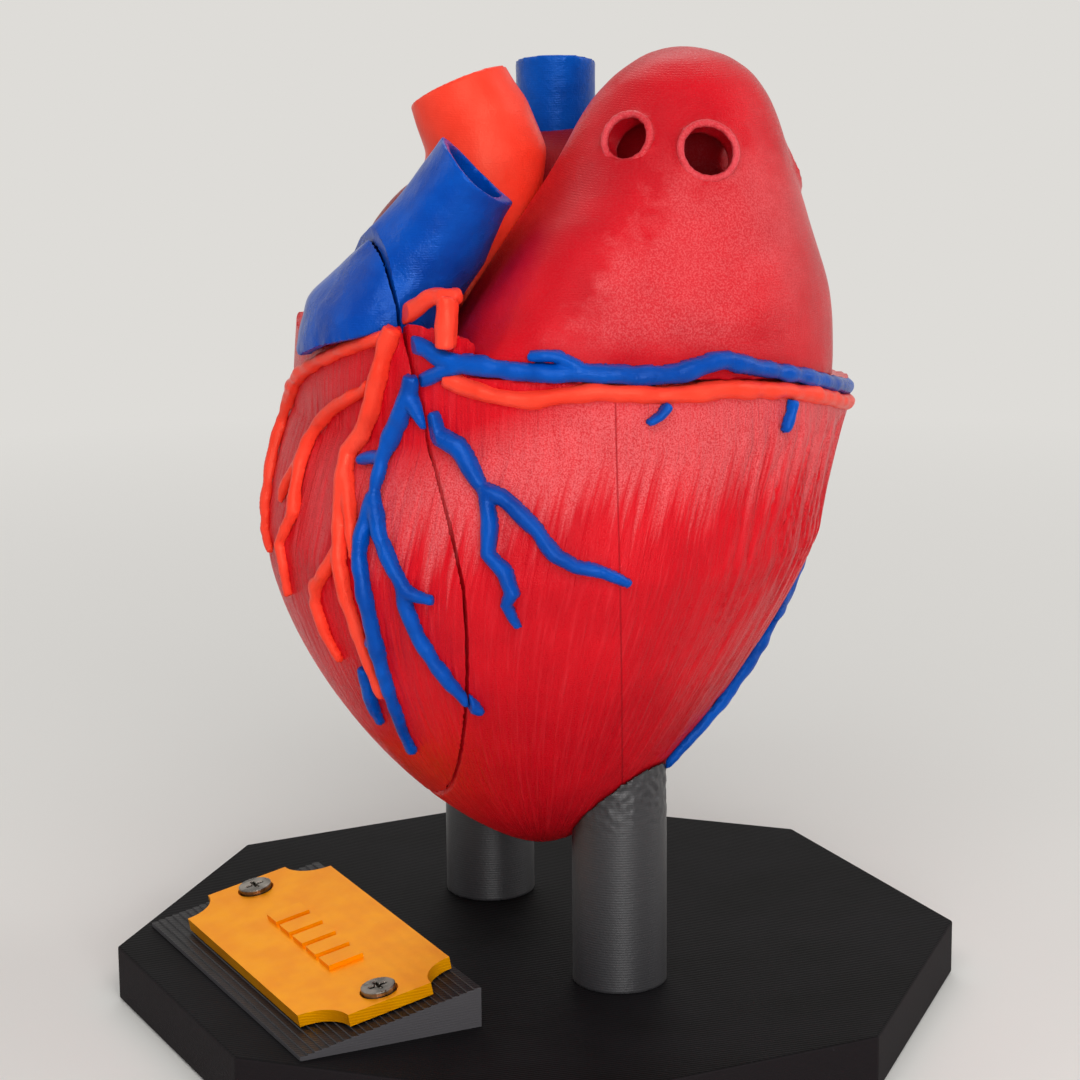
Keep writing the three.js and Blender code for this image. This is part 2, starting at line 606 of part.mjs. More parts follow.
function scoopedShape() {
  const halfWidth = PLATE_WIDTH / 2;
  const halfDepth = PLATE_DEPTH / 2;
  const shape = new THREE.Shape();
  shape.moveTo(-halfWidth + PLATE_SCOOP, -halfDepth);
  shape.lineTo(halfWidth - PLATE_SCOOP, -halfDepth);
  shape.absarc(halfWidth, -halfDepth, PLATE_SCOOP, Math.PI, Math.PI / 2, true);
  shape.lineTo(halfWidth, halfDepth - PLATE_SCOOP);
  shape.absarc(halfWidth, halfDepth, PLATE_SCOOP, 1.5 * Math.PI, Math.PI, true);
  shape.lineTo(-halfWidth + PLATE_SCOOP, halfDepth);
  shape.absarc(-halfWidth, halfDepth, PLATE_SCOOP, 2 * Math.PI, 1.5 * Math.PI, true);
  shape.lineTo(-halfWidth, -halfDepth + PLATE_SCOOP);
  shape.absarc(-halfWidth, -halfDepth, PLATE_SCOOP, Math.PI / 2, 0, true);
  return shape;
}

function nameplate() {
  const options = { depth: PLATE_THICKNESS - CLEARANCE, bevelEnabled: false, curveSegments: 8 };
  let solid = solidOf(new THREE.ExtrudeGeometry(scoopedShape(), options), onSlope(0, plateMiddle, CLEARANCE));
  for (let i = 0; i < TILE_COUNT; i++) {
    const x = (i - (TILE_COUNT - 1) / 2) * TILE_PITCH;
    const tile = new THREE.BoxGeometry(TILE_WIDTH, TILE_DEPTH, 2 * TILE_HEIGHT);
    solid = solid.add(solidOf(tile, onSlope(x, plateMiddle, PLATE_THICKNESS)));
  }
  for (const x of screwPlaces) {
    solid = solid.subtract(cylinderOnSlope(x, SCREW_SHANK_RADIUS + CLEARANCE, -1, PLATE_THICKNESS + 1, 16));
    const recess = cylinderOnSlope(x, SCREW_HEAD_RADIUS + CLEARANCE, screwSeat, PLATE_THICKNESS + 1, 24);
    solid = solid.subtract(recess);
  }
  return solid;
}

function screw(x) {
  const seat = screwSeat + CLEARANCE;
  const top = seat + SCREW_HEAD_HEIGHT;
  let solid = cylinderOnSlope(x, SCREW_HEAD_RADIUS, seat, top, 24);
  solid = solid.add(cylinderOnSlope(x, SCREW_SHANK_RADIUS, screwSeat - SCREW_LENGTH, seat + 0.5, 16));
  for (const [width, depth] of [[CROSS_WIDTH, CROSS_LENGTH], [CROSS_LENGTH, CROSS_WIDTH]]) {
    const slot = new THREE.BoxGeometry(width, depth, 2 * CROSS_DEPTH);
    solid = solid.subtract(solidOf(slot, onSlope(x, plateMiddle, top)));
  }
  return solid;
}

addPiece('nameplate_wedge', wedge(), BLACK, 0.6);
addPiece('nameplate', nameplate(), GOLD, 0.35);
addPiece('nameplate_screw_left', screw(screwPlaces[0]), STEEL, 0.35, 0.9);
addPiece('nameplate_screw_right', screw(screwPlaces[1]), STEEL, 0.35, 0.9);

// Chambers inside the heart

function leftChamber(grow, sides) {
  const rings = LEFT_CHAMBER.map(([z, x, y, radius]) =>
    levelRing(x, y, z, radius + grow, radius + grow, sides));
  for (const point of rings[0]) point.z -= grow;
  return solidOf(ringsGeometry(rings));
}

function rightChamber() {
  const rings = [];
  for (const rise of RIGHT_RISES) {
    const low = Math.min(rise / RIGHT_TAPER, 1);
    const high = Math.min((RIGHT_ROOF - RIGHT_FLOOR + 1 - rise) / RIGHT_DOMING, 1);
    rings.push(ventricleRing(RIGHT_FLOOR + rise, -RIGHT_WALL, 40, Math.sqrt(low * high)));
  }
  const whole = solidOf(ringsGeometry(rings));
  const septum = leftChamber(SEPTUM, 32);
  const aorticWall = rod(AORTIC_MOUTH, AORTIC_MOUTH_RADIUS + 4, 20, 4);
  let chamber = whole.subtract(septum).subtract(aorticWall);
  for (const boss of magnetRods(MAGNET_BOSS, 14)) chamber = chamber.subtract(boss);
  return chamber.add(rod(TRICUSPID, TRICUSPID_RADIUS, 24, 2)).add(rod(OUTFLOW, OUTFLOW_RADIUS, 24, 4));
}

// Magnets, square to the cut
function magnetMiddle([x, z]) {
  const slip = (x - seamPoint.x) * seamNormal.x + (z - seamPoint.z) * seamNormal.z;
  const y = seamPoint.y - slip / seamNormal.y;
  return new THREE.Vector3(x, y, z);
}

function magnetDisc(place, radius, from, to) {
  const turn = new THREE.Quaternion().setFromUnitVectors(new THREE.Vector3(0, 1, 0), seamNormal);
  const middle = magnetMiddle(place).addScaledVector(seamNormal, (from + to) / 2);
  const matrix = new THREE.Matrix4().compose(middle, turn, new THREE.Vector3(1, 1, 1));
  return solidOf(new THREE.CylinderGeometry(radius, radius, to - from, 20), matrix);
}

function magnetRods(radius, half) {
  return MAGNET_PLACES.map((place) => magnetDisc(place, radius, -half, half));
}

// Left atrium with the mouths of the lung veins

const atriumAxis = new THREE.QuadraticBezierCurve(...ATRIUM_AXIS.map(([x, y]) => new THREE.Vector2(x, y)));

// Distance from a point to the ventricles' outline in a direction
function wallReach(centre, angle, z) {
  const middle = ventricleCentre(z);
  const half = ventricleHalfWidth(Math.min(z, 134));
  const [halfX, halfY] = [half * LATERAL_STRETCH, half * DEPTH_STRETCH];
  const [px, py] = [(centre.x - middle.x) / halfX, (centre.y - middle.y) / halfY];
  const [dx, dy] = [Math.cos(angle) / halfX, Math.sin(angle) / halfY];
  const along = px * dx + py * dy;
  const size = dx * dx + dy * dy;
  return (-along + Math.sqrt(along * along - size * (px * px + py * py - 1))) / size;
}

function atriumRadius(radius, angle, centre, z) {
  let away = THREE.MathUtils.radToDeg(angle) - AURICLE_AIM;
  if (away > 180) away -= 360;
  const round = Math.max(Math.cos(Math.PI / 2 * Math.min(Math.abs(away) / AURICLE_SPREAD, 1)), 0) ** 2;
  const fade = 1 - THREE.MathUtils.smoothstep(z, ...AURICLE_HEIGHTS);
  return Math.min(radius * (1 + AURICLE_SWELL * round * fade), wallReach(centre, angle, z) - ATRIUM_INSET);
}

function atriumShape(grow, sides, levels) {
  return dome(ATRIUM_PROFILE, (share) => atriumAxis.getPoint(share), grow, sides, levels, atriumRadius);
}

function lungVein([angle, z, bore], extra, from, to) {
  const above = ATRIUM_PROFILE.findIndex(([, height]) => height > z);
  const [[wide, low], [narrow, high]] = [ATRIUM_PROFILE[above - 1], ATRIUM_PROFILE[above]];
  const reach = THREE.MathUtils.mapLinear(z, low, high, wide, narrow);
  const foot = ATRIUM_PROFILE[0][1];
  const centre = atriumAxis.getPoint((z - foot) / (ATRIUM_PROFILE[ATRIUM_PROFILE.length - 1][1] - foot));
  const round = new THREE.Vector3(Math.cos(degrees(angle)), Math.sin(degrees(angle)), 0);
  const out = round.clone().setZ(Math.tan(degrees(LUNG_VEIN_TILT))).normalize();
  const at = new THREE.Vector3(centre.x, centre.y, z).addScaledVector(round, reach);
  const ends = [from, (from + to) / 2, to].map((share) => at.clone().addScaledVector(out, share).toArray());
  return rod(ends, bore + extra, 20, 2);
}

const aortaWall = rod(AORTA_LINE, AORTA_RADII.map((radius) => radius + CLEARANCE + ATRIUM_WALL), 24, 14);
const aortaClear = rod(AORTA_LINE, AORTA_RADII.map((radius) => radius + CLEARANCE), 32, 14);
let leftAtrium = atriumShape(0, 40, 15);
for (const vein of LUNG_VEINS) leftAtrium = leftAtrium.add(lungVein(vein, LUNG_VEIN_RIM, -3, 0.7));
leftAtrium = leftAtrium.subtract(atriumShape(-ATRIUM_WALL, 24, 8).subtract(aortaWall));
for (const vein of LUNG_VEINS) leftAtrium = leftAtrium.subtract(lungVein(vein, 0, -10, 4));
leftAtrium = leftAtrium.subtract(aortaClear).subtract(belowGroove(CLEARANCE));
addPiece('left_atrium', leftAtrium, RED, 0.4);
const atriumClear = atriumShape(CLEARANCE, 40, 15);

// Pulmonary trunk: rear half stands on the heart, front half belongs to the front wall

function trunkShape(grow, sides) {
  const rings = TRUNK_RINGS.map(([z, x, y, along, across]) =>
    levelRing(x, y, z, along + grow, across + grow, sides, TRUNK_TURN));
  return solidOf(ringsGeometry(rings));
}

const trunkEnd = blockBehind(vector(TRUNK_END), vector(TRUNK_AIM).normalize());
const trunkTube = trunkShape(0, 36).intersect(trunkEnd)
  .subtract(trunkShape(-TRUNK_WALL, 28)).subtract(atriumClear);
const trunkRear = trunkTube.intersect(behindSeam(-CLEARANCE)).subtract(belowGroove(CLEARANCE));
const trunkFront = trunkTube.subtract(behindSeam(0)).subtract(belowCone(CLEARANCE));
addPiece('pulmonary_trunk', trunkRear, BLUE, 0.45);
addPiece('pulmonary_cone', trunkFront, BLUE, 0.45);
const trunkClear = trunkShape(CLEARANCE, 36);

// Ventricles, cut in two, with a shoulder that rises beside the trunk

const chambers = leftChamber(0, 32).add(rightChamber()).add(rod(AORTIC_MOUTH, AORTIC_MOUTH_RADIUS, 20, 6));
const magnetPockets = magnetRods(MAGNET_RADIUS + CLEARANCE, MAGNET_HEIGHT + 2 * CLEARANCE);
const ventricles = ventricleShape(0, 52, 14);

function withPockets(solid) {
  return magnetPockets.reduce((rest, pocket) => rest.subtract(pocket), solid);
}

const shoulder = belowCone(0).intersect(box(...SHOULDER_SIZE, SHOULDER_PLACE))
  .intersect(blockBehind(vector(SHOULDER_TOP), vector(SHOULDER_AIM).normalize()))
  .subtract(trunkClear).subtract(atriumClear);
const rearWall = ventricles.intersect(belowGroove(0).add(shoulder)).intersect(behindSeam(-CLEARANCE))
  .subtract(chambers).subtract(greatVeinSeat).subtract(circumflexSeat);
const frontWall = ventricles.intersect(belowCone(0)).subtract(behindSeam(0)).subtract(chambers);
addPiece('ventricle_body', withPockets(rearWall), RED, 0.45);
addPiece('front_wall', withPockets(frontWall), RED, 0.45);
MAGNET_PLACES.forEach((place, i) => {
  const rear = magnetDisc(place, MAGNET_RADIUS, -CLEARANCE - MAGNET_HEIGHT, -CLEARANCE);
  const front = magnetDisc(place, MAGNET_RADIUS, 0, MAGNET_HEIGHT);
  addPiece(`rear_magnet_${i + 1}`, rear, STEEL, 0.3, 0.9);
  addPiece(`front_magnet_${i + 1}`, front, STEEL, 0.3, 0.9);
});

// Aorta, right atrium and the two great veins

const aortaEnd = blockBehind(vector(AORTA_END), vector(AORTA_AIM).normalize());
const aortaBore = rod(AORTA_LINE, AORTA_RADII.map((radius) => radius - AORTA_WALL), 24, 14);
const aorta = rod(AORTA_LINE, AORTA_RADII, 32, 14).subtract(aortaBore);
addPiece('aorta', aorta.intersect(aortaEnd).subtract(trunkClear)
  .subtract(belowGroove(CLEARANCE)), CORAL, 0.4);

function rightAtriumShape(grow, sides, levels) {
  const centre = new THREE.Vector2(...RIGHT_ATRIUM_CENTRE);
  const auricle = new THREE.Vector2(...RIGHT_AURICLE_CENTRE);
  return dome(RIGHT_ATRIUM_PROFILE, () => centre, grow, sides, levels)
    .add(dome(RIGHT_AURICLE_PROFILE, () => auricle, grow, sides - 8, levels));
}

const roof = RIGHT_ATRIUM_PROFILE[RIGHT_ATRIUM_PROFILE.length - 1][1];
const cavaLine = [roof - CAVA_SEAT, roof, CAVA_TOP + CAVA_RADIUS].map((z) => [...CAVA_CENTRE, z]);
const cavaEnd = blockBehind(vector([...CAVA_CENTRE, CAVA_TOP]), vector(CAVA_AIM).normalize());
const cavaSeat = rod(cavaLine, CAVA_RADIUS + CLEARANCE, 28, 2);
const lowerCavaSeat = rod(LOWER_CAVA_LINE, LOWER_CAVA_RADIUS + CLEARANCE, 28, 4);
const rightAtrium = rightAtriumShape(0, 36, 10).subtract(rightAtriumShape(-RIGHT_ATRIUM_WALL, 24, 8))
  .subtract(atriumClear).subtract(aortaClear).subtract(trunkClear)
  .subtract(cavaSeat).subtract(lowerCavaSeat).subtract(belowGroove(CLEARANCE));
addPiece('right_atrium', rightAtrium, DARK_RED, 0.5);

function veinTube(line, radius, steps) {
  const reach = [line[0].map((v, i) => v - 0.2 * (line[1][i] - line[0][i])), ...line.slice(1, -1),
    line[line.length - 1].map((v, i) => v + 0.2 * (v - line[1][i]))];
  return rod(line, radius, 28, steps).subtract(rod(reach, radius - CAVA_WALL, 20, steps));
}

addPiece('superior_vena_cava', veinTube(cavaLine, CAVA_RADIUS, 2).intersect(cavaEnd)
  .subtract(aortaClear), BLUE, 0.45);
addPiece('inferior_vena_cava', veinTube(LOWER_CAVA_LINE, LOWER_CAVA_RADIUS, 4)
  .subtract(belowGroove(CLEARANCE)), BLUE, 0.45);

// Vessels on the wall

const leftMain = rod(LEFT_MAIN_LINE, LEFT_MAIN_RADIUS, 10, 10)
  .add(rod(LEFT_MAIN_DROP, LEFT_MAIN_DROP_RADIUS, 10, 5));
const rightArtery = grooveStrip(RIGHT_ARTERY_WIDTH, RIGHT_ARTERY_HEIGHT, RIGHT_ARTERY);
const rear = behindSeam(-CLEARANCE);
const front = behindSeam(0);

addPiece('great_cardiac_vein', greatVein.intersect(rear).subtract(atriumClear), BLUE, 0.4);
addPiece('circumflex_artery', circumflex.intersect(rear).subtract(greatVeinClear)
  .subtract(atriumClear.subtract(belowGroove(0))), CORAL, 0.4);
addPiece('left_main_artery', leftMain.intersect(rear).subtract(trunkClear).subtract(atriumClear)
  .subtract(greatVeinClear).subtract(heartClear.intersect(belowCone(CLEARANCE))), CORAL, 0.4);
addPiece('right_coronary_artery', rightArtery.intersect(rear), CORAL, 0.4);
addPiece('lateral_vein', stripTree(LATERAL_VEIN).intersect(rear).subtract(circumflexSeat), BLUE, 0.4);
addPiece('seam_vein', stripTree(SEAM_VEIN).intersect(rear), BLUE, 0.4);
addPiece('marginal_vein_left', stripTree(MARGINAL_VEIN_LEFT).subtract(circumflexSeat), BLUE, 0.4);
addPiece('marginal_vein_right', stripTree(MARGINAL_VEIN_RIGHT).subtract(circumflexSeat), BLUE, 0.4);
addPiece('posterior_vein', stripTree(POSTERIOR_VEIN).subtract(postClear), BLUE, 0.4);
addPiece('middle_cardiac_vein', stripTree(MIDDLE_VEIN), BLUE, 0.4);
addPiece('posterior_artery', stripTree(POSTERIOR_ARTERY), CORAL, 0.4);

const anteriorVein = stripTree(ANTERIOR_VEIN).subtract(front);
const anteriorVeinClear = stripTree(ANTERIOR_VEIN, { lift: 0, spread: CLEARANCE });
const anteriorArtery = stripTree(ANTERIOR_ARTERY).subtract(front).subtract(anteriorVeinClear);
const anteriorArteryClear = stripTree(ANTERIOR_ARTERY, { lift: 0, spread: CLEARANCE });
addPiece('anterior_vein', anteriorVein, BLUE, 0.4);
addPiece('anterior_artery', anteriorArtery, CORAL, 0.4);
addPiece('outer_artery', stripTree(OUTER_ARTERY).subtract(front).subtract(anteriorArteryClear), CORAL, 0.4);
addPiece('middle_artery', stripTree(MIDDLE_ARTERY).subtract(front).subtract(anteriorArteryClear), CORAL, 0.4);
addPiece('lower_vein', stripTree(LOWER_VEIN).subtract(front).subtract(anteriorArteryClear), BLUE, 0.4);

export default model;
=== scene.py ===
"""Looks of a printed human heart model on its stand: red, coral and blue prints in a pale studio.

Lengths are millimetres on the stand's frame, +Z up and the nameplate towards -Y, until MM makes them metres.
Angles are degrees. A turn is counted from +X towards +Y, and the azimuth of the camera and of the lights
from -Y towards +X.
"""
import math

import bpy
import numpy as np
from mathutils import Matrix, Vector, noise


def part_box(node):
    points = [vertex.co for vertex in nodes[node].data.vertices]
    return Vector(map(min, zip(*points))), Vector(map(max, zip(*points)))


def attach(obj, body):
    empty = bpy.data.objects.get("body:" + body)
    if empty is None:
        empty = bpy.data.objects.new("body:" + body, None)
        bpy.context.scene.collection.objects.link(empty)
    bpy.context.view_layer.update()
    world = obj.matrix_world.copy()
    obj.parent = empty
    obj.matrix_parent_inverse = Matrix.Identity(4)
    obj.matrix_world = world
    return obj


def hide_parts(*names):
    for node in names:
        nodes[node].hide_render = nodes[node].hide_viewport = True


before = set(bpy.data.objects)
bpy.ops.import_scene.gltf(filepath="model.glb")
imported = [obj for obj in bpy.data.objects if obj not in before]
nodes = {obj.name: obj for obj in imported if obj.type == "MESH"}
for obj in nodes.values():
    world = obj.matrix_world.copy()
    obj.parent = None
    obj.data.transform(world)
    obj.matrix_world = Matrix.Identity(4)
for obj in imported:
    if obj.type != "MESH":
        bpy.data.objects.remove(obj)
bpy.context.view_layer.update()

MM = 0.001

# Camera at the photograph's angle
CAMERA_TARGET = (2.196, 0, 83.85)
CAMERA_AZIMUTH = 63.94
CAMERA_ELEVATION = 14.16
CAMERA_ROLL = -0.497
CAMERA_DISTANCE = 604.5
CAMERA_LENS = 115.0
CAMERA_SENSOR = 36

# Wall of the ventricles, as in the solids
APEX = (11, -4.5, 31.8)
HEART_BULGE = (2, -7)
HEART_TOP = (2.8, 5.7)
WIDEST_HEIGHT = 89.3
WIDEST_HALF_WIDTH = 48.8
AXIS_HEIGHT = 109.3
TAPER_POWER = 1.31
ROUND_POWER = 1.55
SHOULDER_DROP = 0.9
SHOULDER_HEIGHT = 26
LATERAL_STRETCH = 1.05
DEPTH_STRETCH = 0.987

# Seam between the front wall and the rest: a point and a direction
SEAM_NORMAL = np.array((-0.1092, -0.9887, -0.1028))
SEAM_POINT = np.array((0, 0, WIDEST_HEIGHT)) + 28.1 * SEAM_NORMAL
SEAM_GAP = 0.3                  # between the solids
ON_SEAM = 0.02                  # points this close lie on the joint face
OVERLENGTH = 1.3                # how far a copy is drawn past the seam before it is cut
CUT_BACK = 0.12                 # how far the crisp cuts lie inside the solids

# Groove round the heart, and the cut ends of the great vessels
GROOVE_HEIGHT = 115.1
GROOVE_RISE = (0.111, -0.101)   # along X and along Y
AORTA_END = ((-7.7, -10, 162.8), (-0.39, -0.23, 0.89))
TRUNK_END = ((17.7, -18.3, 152.1), (0.24, 0.67, 0.7))
CAVA_END = ((-21.4, 15.4, 164.4), (-0.24, 0.12, 0.96))
TRUNK_TURN = 64                 # to the right-hand end of its mouth
CONE_JOINT = ((121.2, 0.32), (122, -0.08), (143, 0.9))  # height on the axis, rise along X

# Mouths of the lung veins: the middle, the radius and the turn to where they face
LUNG_VEIN_MOUTHS = (
    ((28.1, 4, 157), 3.7, -56), ((36.4, 14.4, 155.2), 4.3, -12),
    ((22.3, 37.6, 150), 4, 80), ((11.6, 36.7, 150), 4, 110),
)
LUNG_VEIN_TILT = 25
LIP_OFFSET = 0.45               # middle of the rough lip outside the mouth's radius
LIP_RADIUS = 0.62
LIP_RISE = 0.3

# Line up the ventricles where each printed layer starts and ends
PRINT_SEAM_TURN = 64
PRINT_SEAM_OFFSET = 15.5

# Fibres of the heart muscle
FIBRE_SIZE = (2.1, 2.1, 17)     # across, across and along
BUNDLE_SIZE = (6, 6, 30)
FIBRE_DEPTH = 0.6
DEEPEST_SIDE = (0.44, 0.9)      # direction in which the grooves are deepest

# Stand
BASE_THICKNESS = 10
POST_RADIUS = 8.2
POST_PLACES = {"left": (-26.25, 3), "right": (26.25, 3)}
CRUMB_ZONE = (14, 4)            # below a post's top, where the crumbs start and are full
CRUMB_HEIGHT = 0.28
WEDGE_STEPS = 25                # printed layers that show on its slope
FIRST_STEP = 0.8


# Selecting and shaping

def select_only(*pieces):
    bpy.ops.object.select_all(action="DESELECT")
    for piece in pieces:
        piece.select_set(True)
    bpy.context.view_layer.objects.active = pieces[0]


def edit_all_of(piece):
    """Opens a piece for editing, with the whole of it selected."""
    select_only(piece)
    bpy.ops.object.mode_set(mode="EDIT")
    bpy.ops.mesh.select_all(action="SELECT")


def end_editing():
    bpy.ops.object.mode_set(mode="OBJECT")


def copy_node(node, name):
    """A free copy of a node's mesh with its loose triangles joined."""
    piece = bpy.data.objects.new(name, nodes[node].data.copy())
    bpy.context.collection.objects.link(piece)
    piece.data.materials.clear()
    edit_all_of(piece)
    bpy.ops.mesh.remove_doubles(threshold=0.002 * MM)
    end_editing()
    return piece


def modify(piece, kind, **settings):
    """Adds a modifier with its settings and applies it."""
    modifier = piece.modifiers.new(kind.lower(), kind)
    for name, value in settings.items():
        setattr(modifier, name, value)
    select_only(piece)
    bpy.ops.object.modifier_apply(modifier=modifier.name)


def even_mesh(piece, voxel):
    modify(piece, "REMESH", mode="VOXEL", voxel_size=voxel * MM, use_smooth_shade=True)


def soften(piece, rounds, weights=None):
    """Evens out the facets; a point with weight 0 stays where it is."""
    if weights is None:
        modify(piece, "SMOOTH", factor=0.5, iterations=rounds)
        return
    group = piece.vertex_groups.new(name="soft")
    tenths = np.round(np.asarray(weights) * 10).astype(int)
    for tenth in range(1, 11):
        group.add(np.nonzero(tenths == tenth)[0].tolist(), tenth / 10, "REPLACE")
    modify(piece, "SMOOTH", factor=0.5, iterations=rounds, vertex_group="soft")
    piece.vertex_groups.clear()


def round_edges(piece, width):
    """Joins triangles into flat faces and rounds the edges between them, which stay evenly shaded."""
    edit_all_of(piece)
    bpy.ops.mesh.dissolve_limited(angle_limit=math.radians(1.5))
    end_editing()
    modify(piece, "BEVEL", width=width * MM, segments=3, limit_method="ANGLE", angle_limit=math.radians(30))
    bpy.ops.object.shade_smooth_by_angle(angle=math.radians(35))
    modify(piece, "WEIGHTED_NORMAL", weight=100, keep_sharp=True)


def read_points(piece, what):
    flat = np.empty(len(piece.data.vertices) * 3)
    piece.data.vertices.foreach_get(what, flat)
    return flat.reshape(-1, 3)


def points_of(piece):
    return read_points(piece, "co") / MM


def normals_of(piece):
    return read_points(piece, "normal")


def move_to(piece, points):
    piece.data.vertices.foreach_set("co", (points * MM).ravel())
    piece.data.update()


def smoothstep(values, low, high):
    share = np.clip((values - low) / (high - low), 0, 1)
    return share * share * (3 - 2 * share)


def noise_at(points, size):
    """Smooth noise between about -1 and 1, with lumps of one size or one per axis."""
    return np.array([noise.noise(Vector(point)) for point in points / np.array(size)])


# Places on the heart

def seam_distance(points):
    """Distance in front of the cut between the front wall and the rest."""
    return (points - SEAM_POINT) @ SEAM_NORMAL


def groove_distance(points):
    """Height above the groove that runs round the heart."""
    return points[:, 2] - GROOVE_HEIGHT - points[:, 0] * GROOVE_RISE[0] - points[:, 1] * GROOVE_RISE[1]


def end_distance(points, end):
    """Distance past the cut end of a vessel, which is a point and a direction."""
    point, normal = np.array(end[0]), np.array(end[1])
    return (points - point) @ normal / np.linalg.norm(normal)


def above_cone_joint(points):
    """Height above the joint between the front wall and the blue cone."""
    right, left, far = [height + rise * points[:, 0] for height, rise in CONE_JOINT]
    return points[:, 2] - np.minimum(np.maximum(right, left), far)


def near(points, *distances, width=2.2):
    """Weight that is 0 on the given cuts and 1 away from them."""
    closest = np.min([np.abs(distance) for distance in distances], axis=0)
    return smoothstep(closest, 0.5, width)


def ventricle_centre(z):
    share = np.clip((z - APEX[2]) / (AXIS_HEIGHT - APEX[2]), 0, 1)
    ends = [np.array(end) for end in (APEX[:2], HEART_BULGE, HEART_TOP)]
    parts = ((1 - share) ** 2, 2 * share * (1 - share), share ** 2)
    return sum(part[:, None] * end for part, end in zip(parts, ends))


def ventricle_half_width(z):
    above = WIDEST_HALF_WIDTH - SHOULDER_DROP * ((z - WIDEST_HEIGHT) / SHOULDER_HEIGHT) ** 2
    depth = np.clip((WIDEST_HEIGHT - z) / (WIDEST_HEIGHT - APEX[2]), 0, 1)
    below = WIDEST_HALF_WIDTH * (1 - depth ** TAPER_POWER) ** (1 / ROUND_POWER)
    return np.maximum(np.where(z >= WIDEST_HEIGHT, above, below), 0.5)


def round_the_heart(points):
    """Directions away from the ventricles' axis, and the distance outside their wall."""
    centre = ventricle_centre(points[:, 2])
    x = (points[:, 0] - centre[:, 0]) / LATERAL_STRETCH
    y = (points[:, 1] - centre[:, 1]) / DEPTH_STRETCH
    reach = np.maximum(np.hypot(x, y), 0.01)
    return np.stack([x / reach, y / reach], 1), reach - ventricle_half_width(points[:, 2])


def draw_past_seam(piece, shift, front):
    """Lengthens a fresh copy past the seam, so that the later cut meets a smooth wall."""
    points = points_of(piece)
    face = np.abs(seam_distance(points) - shift) < ON_SEAM
    edge = face & (np.abs(round_the_heart(points)[1]) < 0.6) & (groove_distance(points) < 1)
    points[face] += (-OVERLENGTH if front else OVERLENGTH) * SEAM_NORMAL
    away, outside = round_the_heart(points)
    along_wall = away * outside[:, None] * (LATERAL_STRETCH, DEPTH_STRETCH)
    points[edge, :2] -= along_wall[edge]
    move_to(piece, points)


def cut_at_seam(piece, shift, front):
    """Cuts the piece off flat along the seam, which makes its edge crisp."""
    shift += CUT_BACK if front else -CUT_BACK
    edit_all_of(piece)
    bpy.ops.mesh.bisect(plane_co=(SEAM_POINT + shift * SEAM_NORMAL) * MM, plane_no=SEAM_NORMAL,
                        use_fill=True, clear_inner=front, clear_outer=not front)
    bpy.ops.mesh.select_all(action="SELECT")
    bpy.ops.mesh.remove_doubles(threshold=0.01 * MM)
    bpy.ops.mesh.dissolve_degenerate(threshold=0.01 * MM)
    end_editing()
    piece.data.validate()
    bpy.ops.object.shade_smooth_by_angle(angle=math.radians(50))


def onto_wall(piece):
    """Moves points close to the ventricles' wall exactly onto it."""
    points = points_of(piece)
    away, outside = round_the_heart(points)
    share = (1 - smoothstep(np.abs(outside), 0.5, 0.9)) * smoothstep(points[:, 2], 42, 50)
    points[:, 0] -= away[:, 0] * outside * share * LATERAL_STRETCH
    points[:, 1] -= away[:, 1] * outside * share * DEPTH_STRETCH
    move_to(piece, points)


def muscle_fibres(piece):
    """Presses long grooves into the wall that run down and close up towards the apex."""
    points = points_of(piece)
    away, outside = round_the_heart(points)
    on_wall = (np.abs(outside) < 0.5) & ((normals_of(piece)[:, :2] * away).sum(1) > 0.3)
    wall = np.nonzero(on_wall)[0]
    route = np.column_stack([away[wall] * WIDEST_HALF_WIDTH, points[wall, 2]])
    fibres = noise_at(route, FIBRE_SIZE)
    bundles = noise_at(route + 40, BUNDLE_SIZE)
    below_groove = smoothstep(-groove_distance(points[wall]), 3, 9)
    fade_down = 0.35 + 0.65 * smoothstep(points[wall, 2], 58, 92)
    to_side = 0.6 + 1.2 * smoothstep(away[wall] @ np.array(DEEPEST_SIDE), 0.3, 0.95)
    off_cut = smoothstep(np.abs(seam_distance(points[wall])), 1.5, 5)
    press = FIBRE_DEPTH * below_groove * fade_down * to_side * off_cut
    press *= 0.75 * np.clip(1 - 2.6 * np.abs(fibres), 0, 1) ** 1.5 + 0.5 * np.clip(0.3 - bundles, 0, 1)
    points[wall, :2] -= away[wall] * press[:, None]
    move_to(piece, points)


def add_fibre_route(piece):
    """Stores for the finish where each point is: round the heart, and its height."""
    points = points_of(piece)
    away, _ = round_the_heart(points)
    route = np.column_stack([away * WIDEST_HALF_WIDTH, points[:, 2]]) * MM
    attribute = piece.data.attributes.new("fibre", "FLOAT_VECTOR", "POINT")
    attribute.data.foreach_set("vector", route.ravel())


# Shading nodes

def colour(hex_code):
    """sRGB hex to a linear colour."""
    channels = [int(hex_code[i:i + 2], 16) / 255 for i in (1, 3, 5)]
    linear = [c / 12.92 if c <= 0.04045 else ((c + 0.055) / 1.055) ** 2.4 for c in channels]
    return (*linear, 1)


def add(tree, kind, output, inputs=None, **settings):
    """Adds a node and gives back one of its outputs; an input takes a value or another node's output."""
    node = tree.nodes.new(kind)
    for name, value in settings.items():
        setattr(node, name, value)
    sockets = {socket.identifier: socket for socket in node.inputs}
    for name, value in (inputs or {}).items():
        if isinstance(value, bpy.types.NodeSocket):
            tree.links.new(value, sockets[name])
        else:
            sockets[name].default_value = value
    return next(socket for socket in node.outputs if socket.identifier == output)


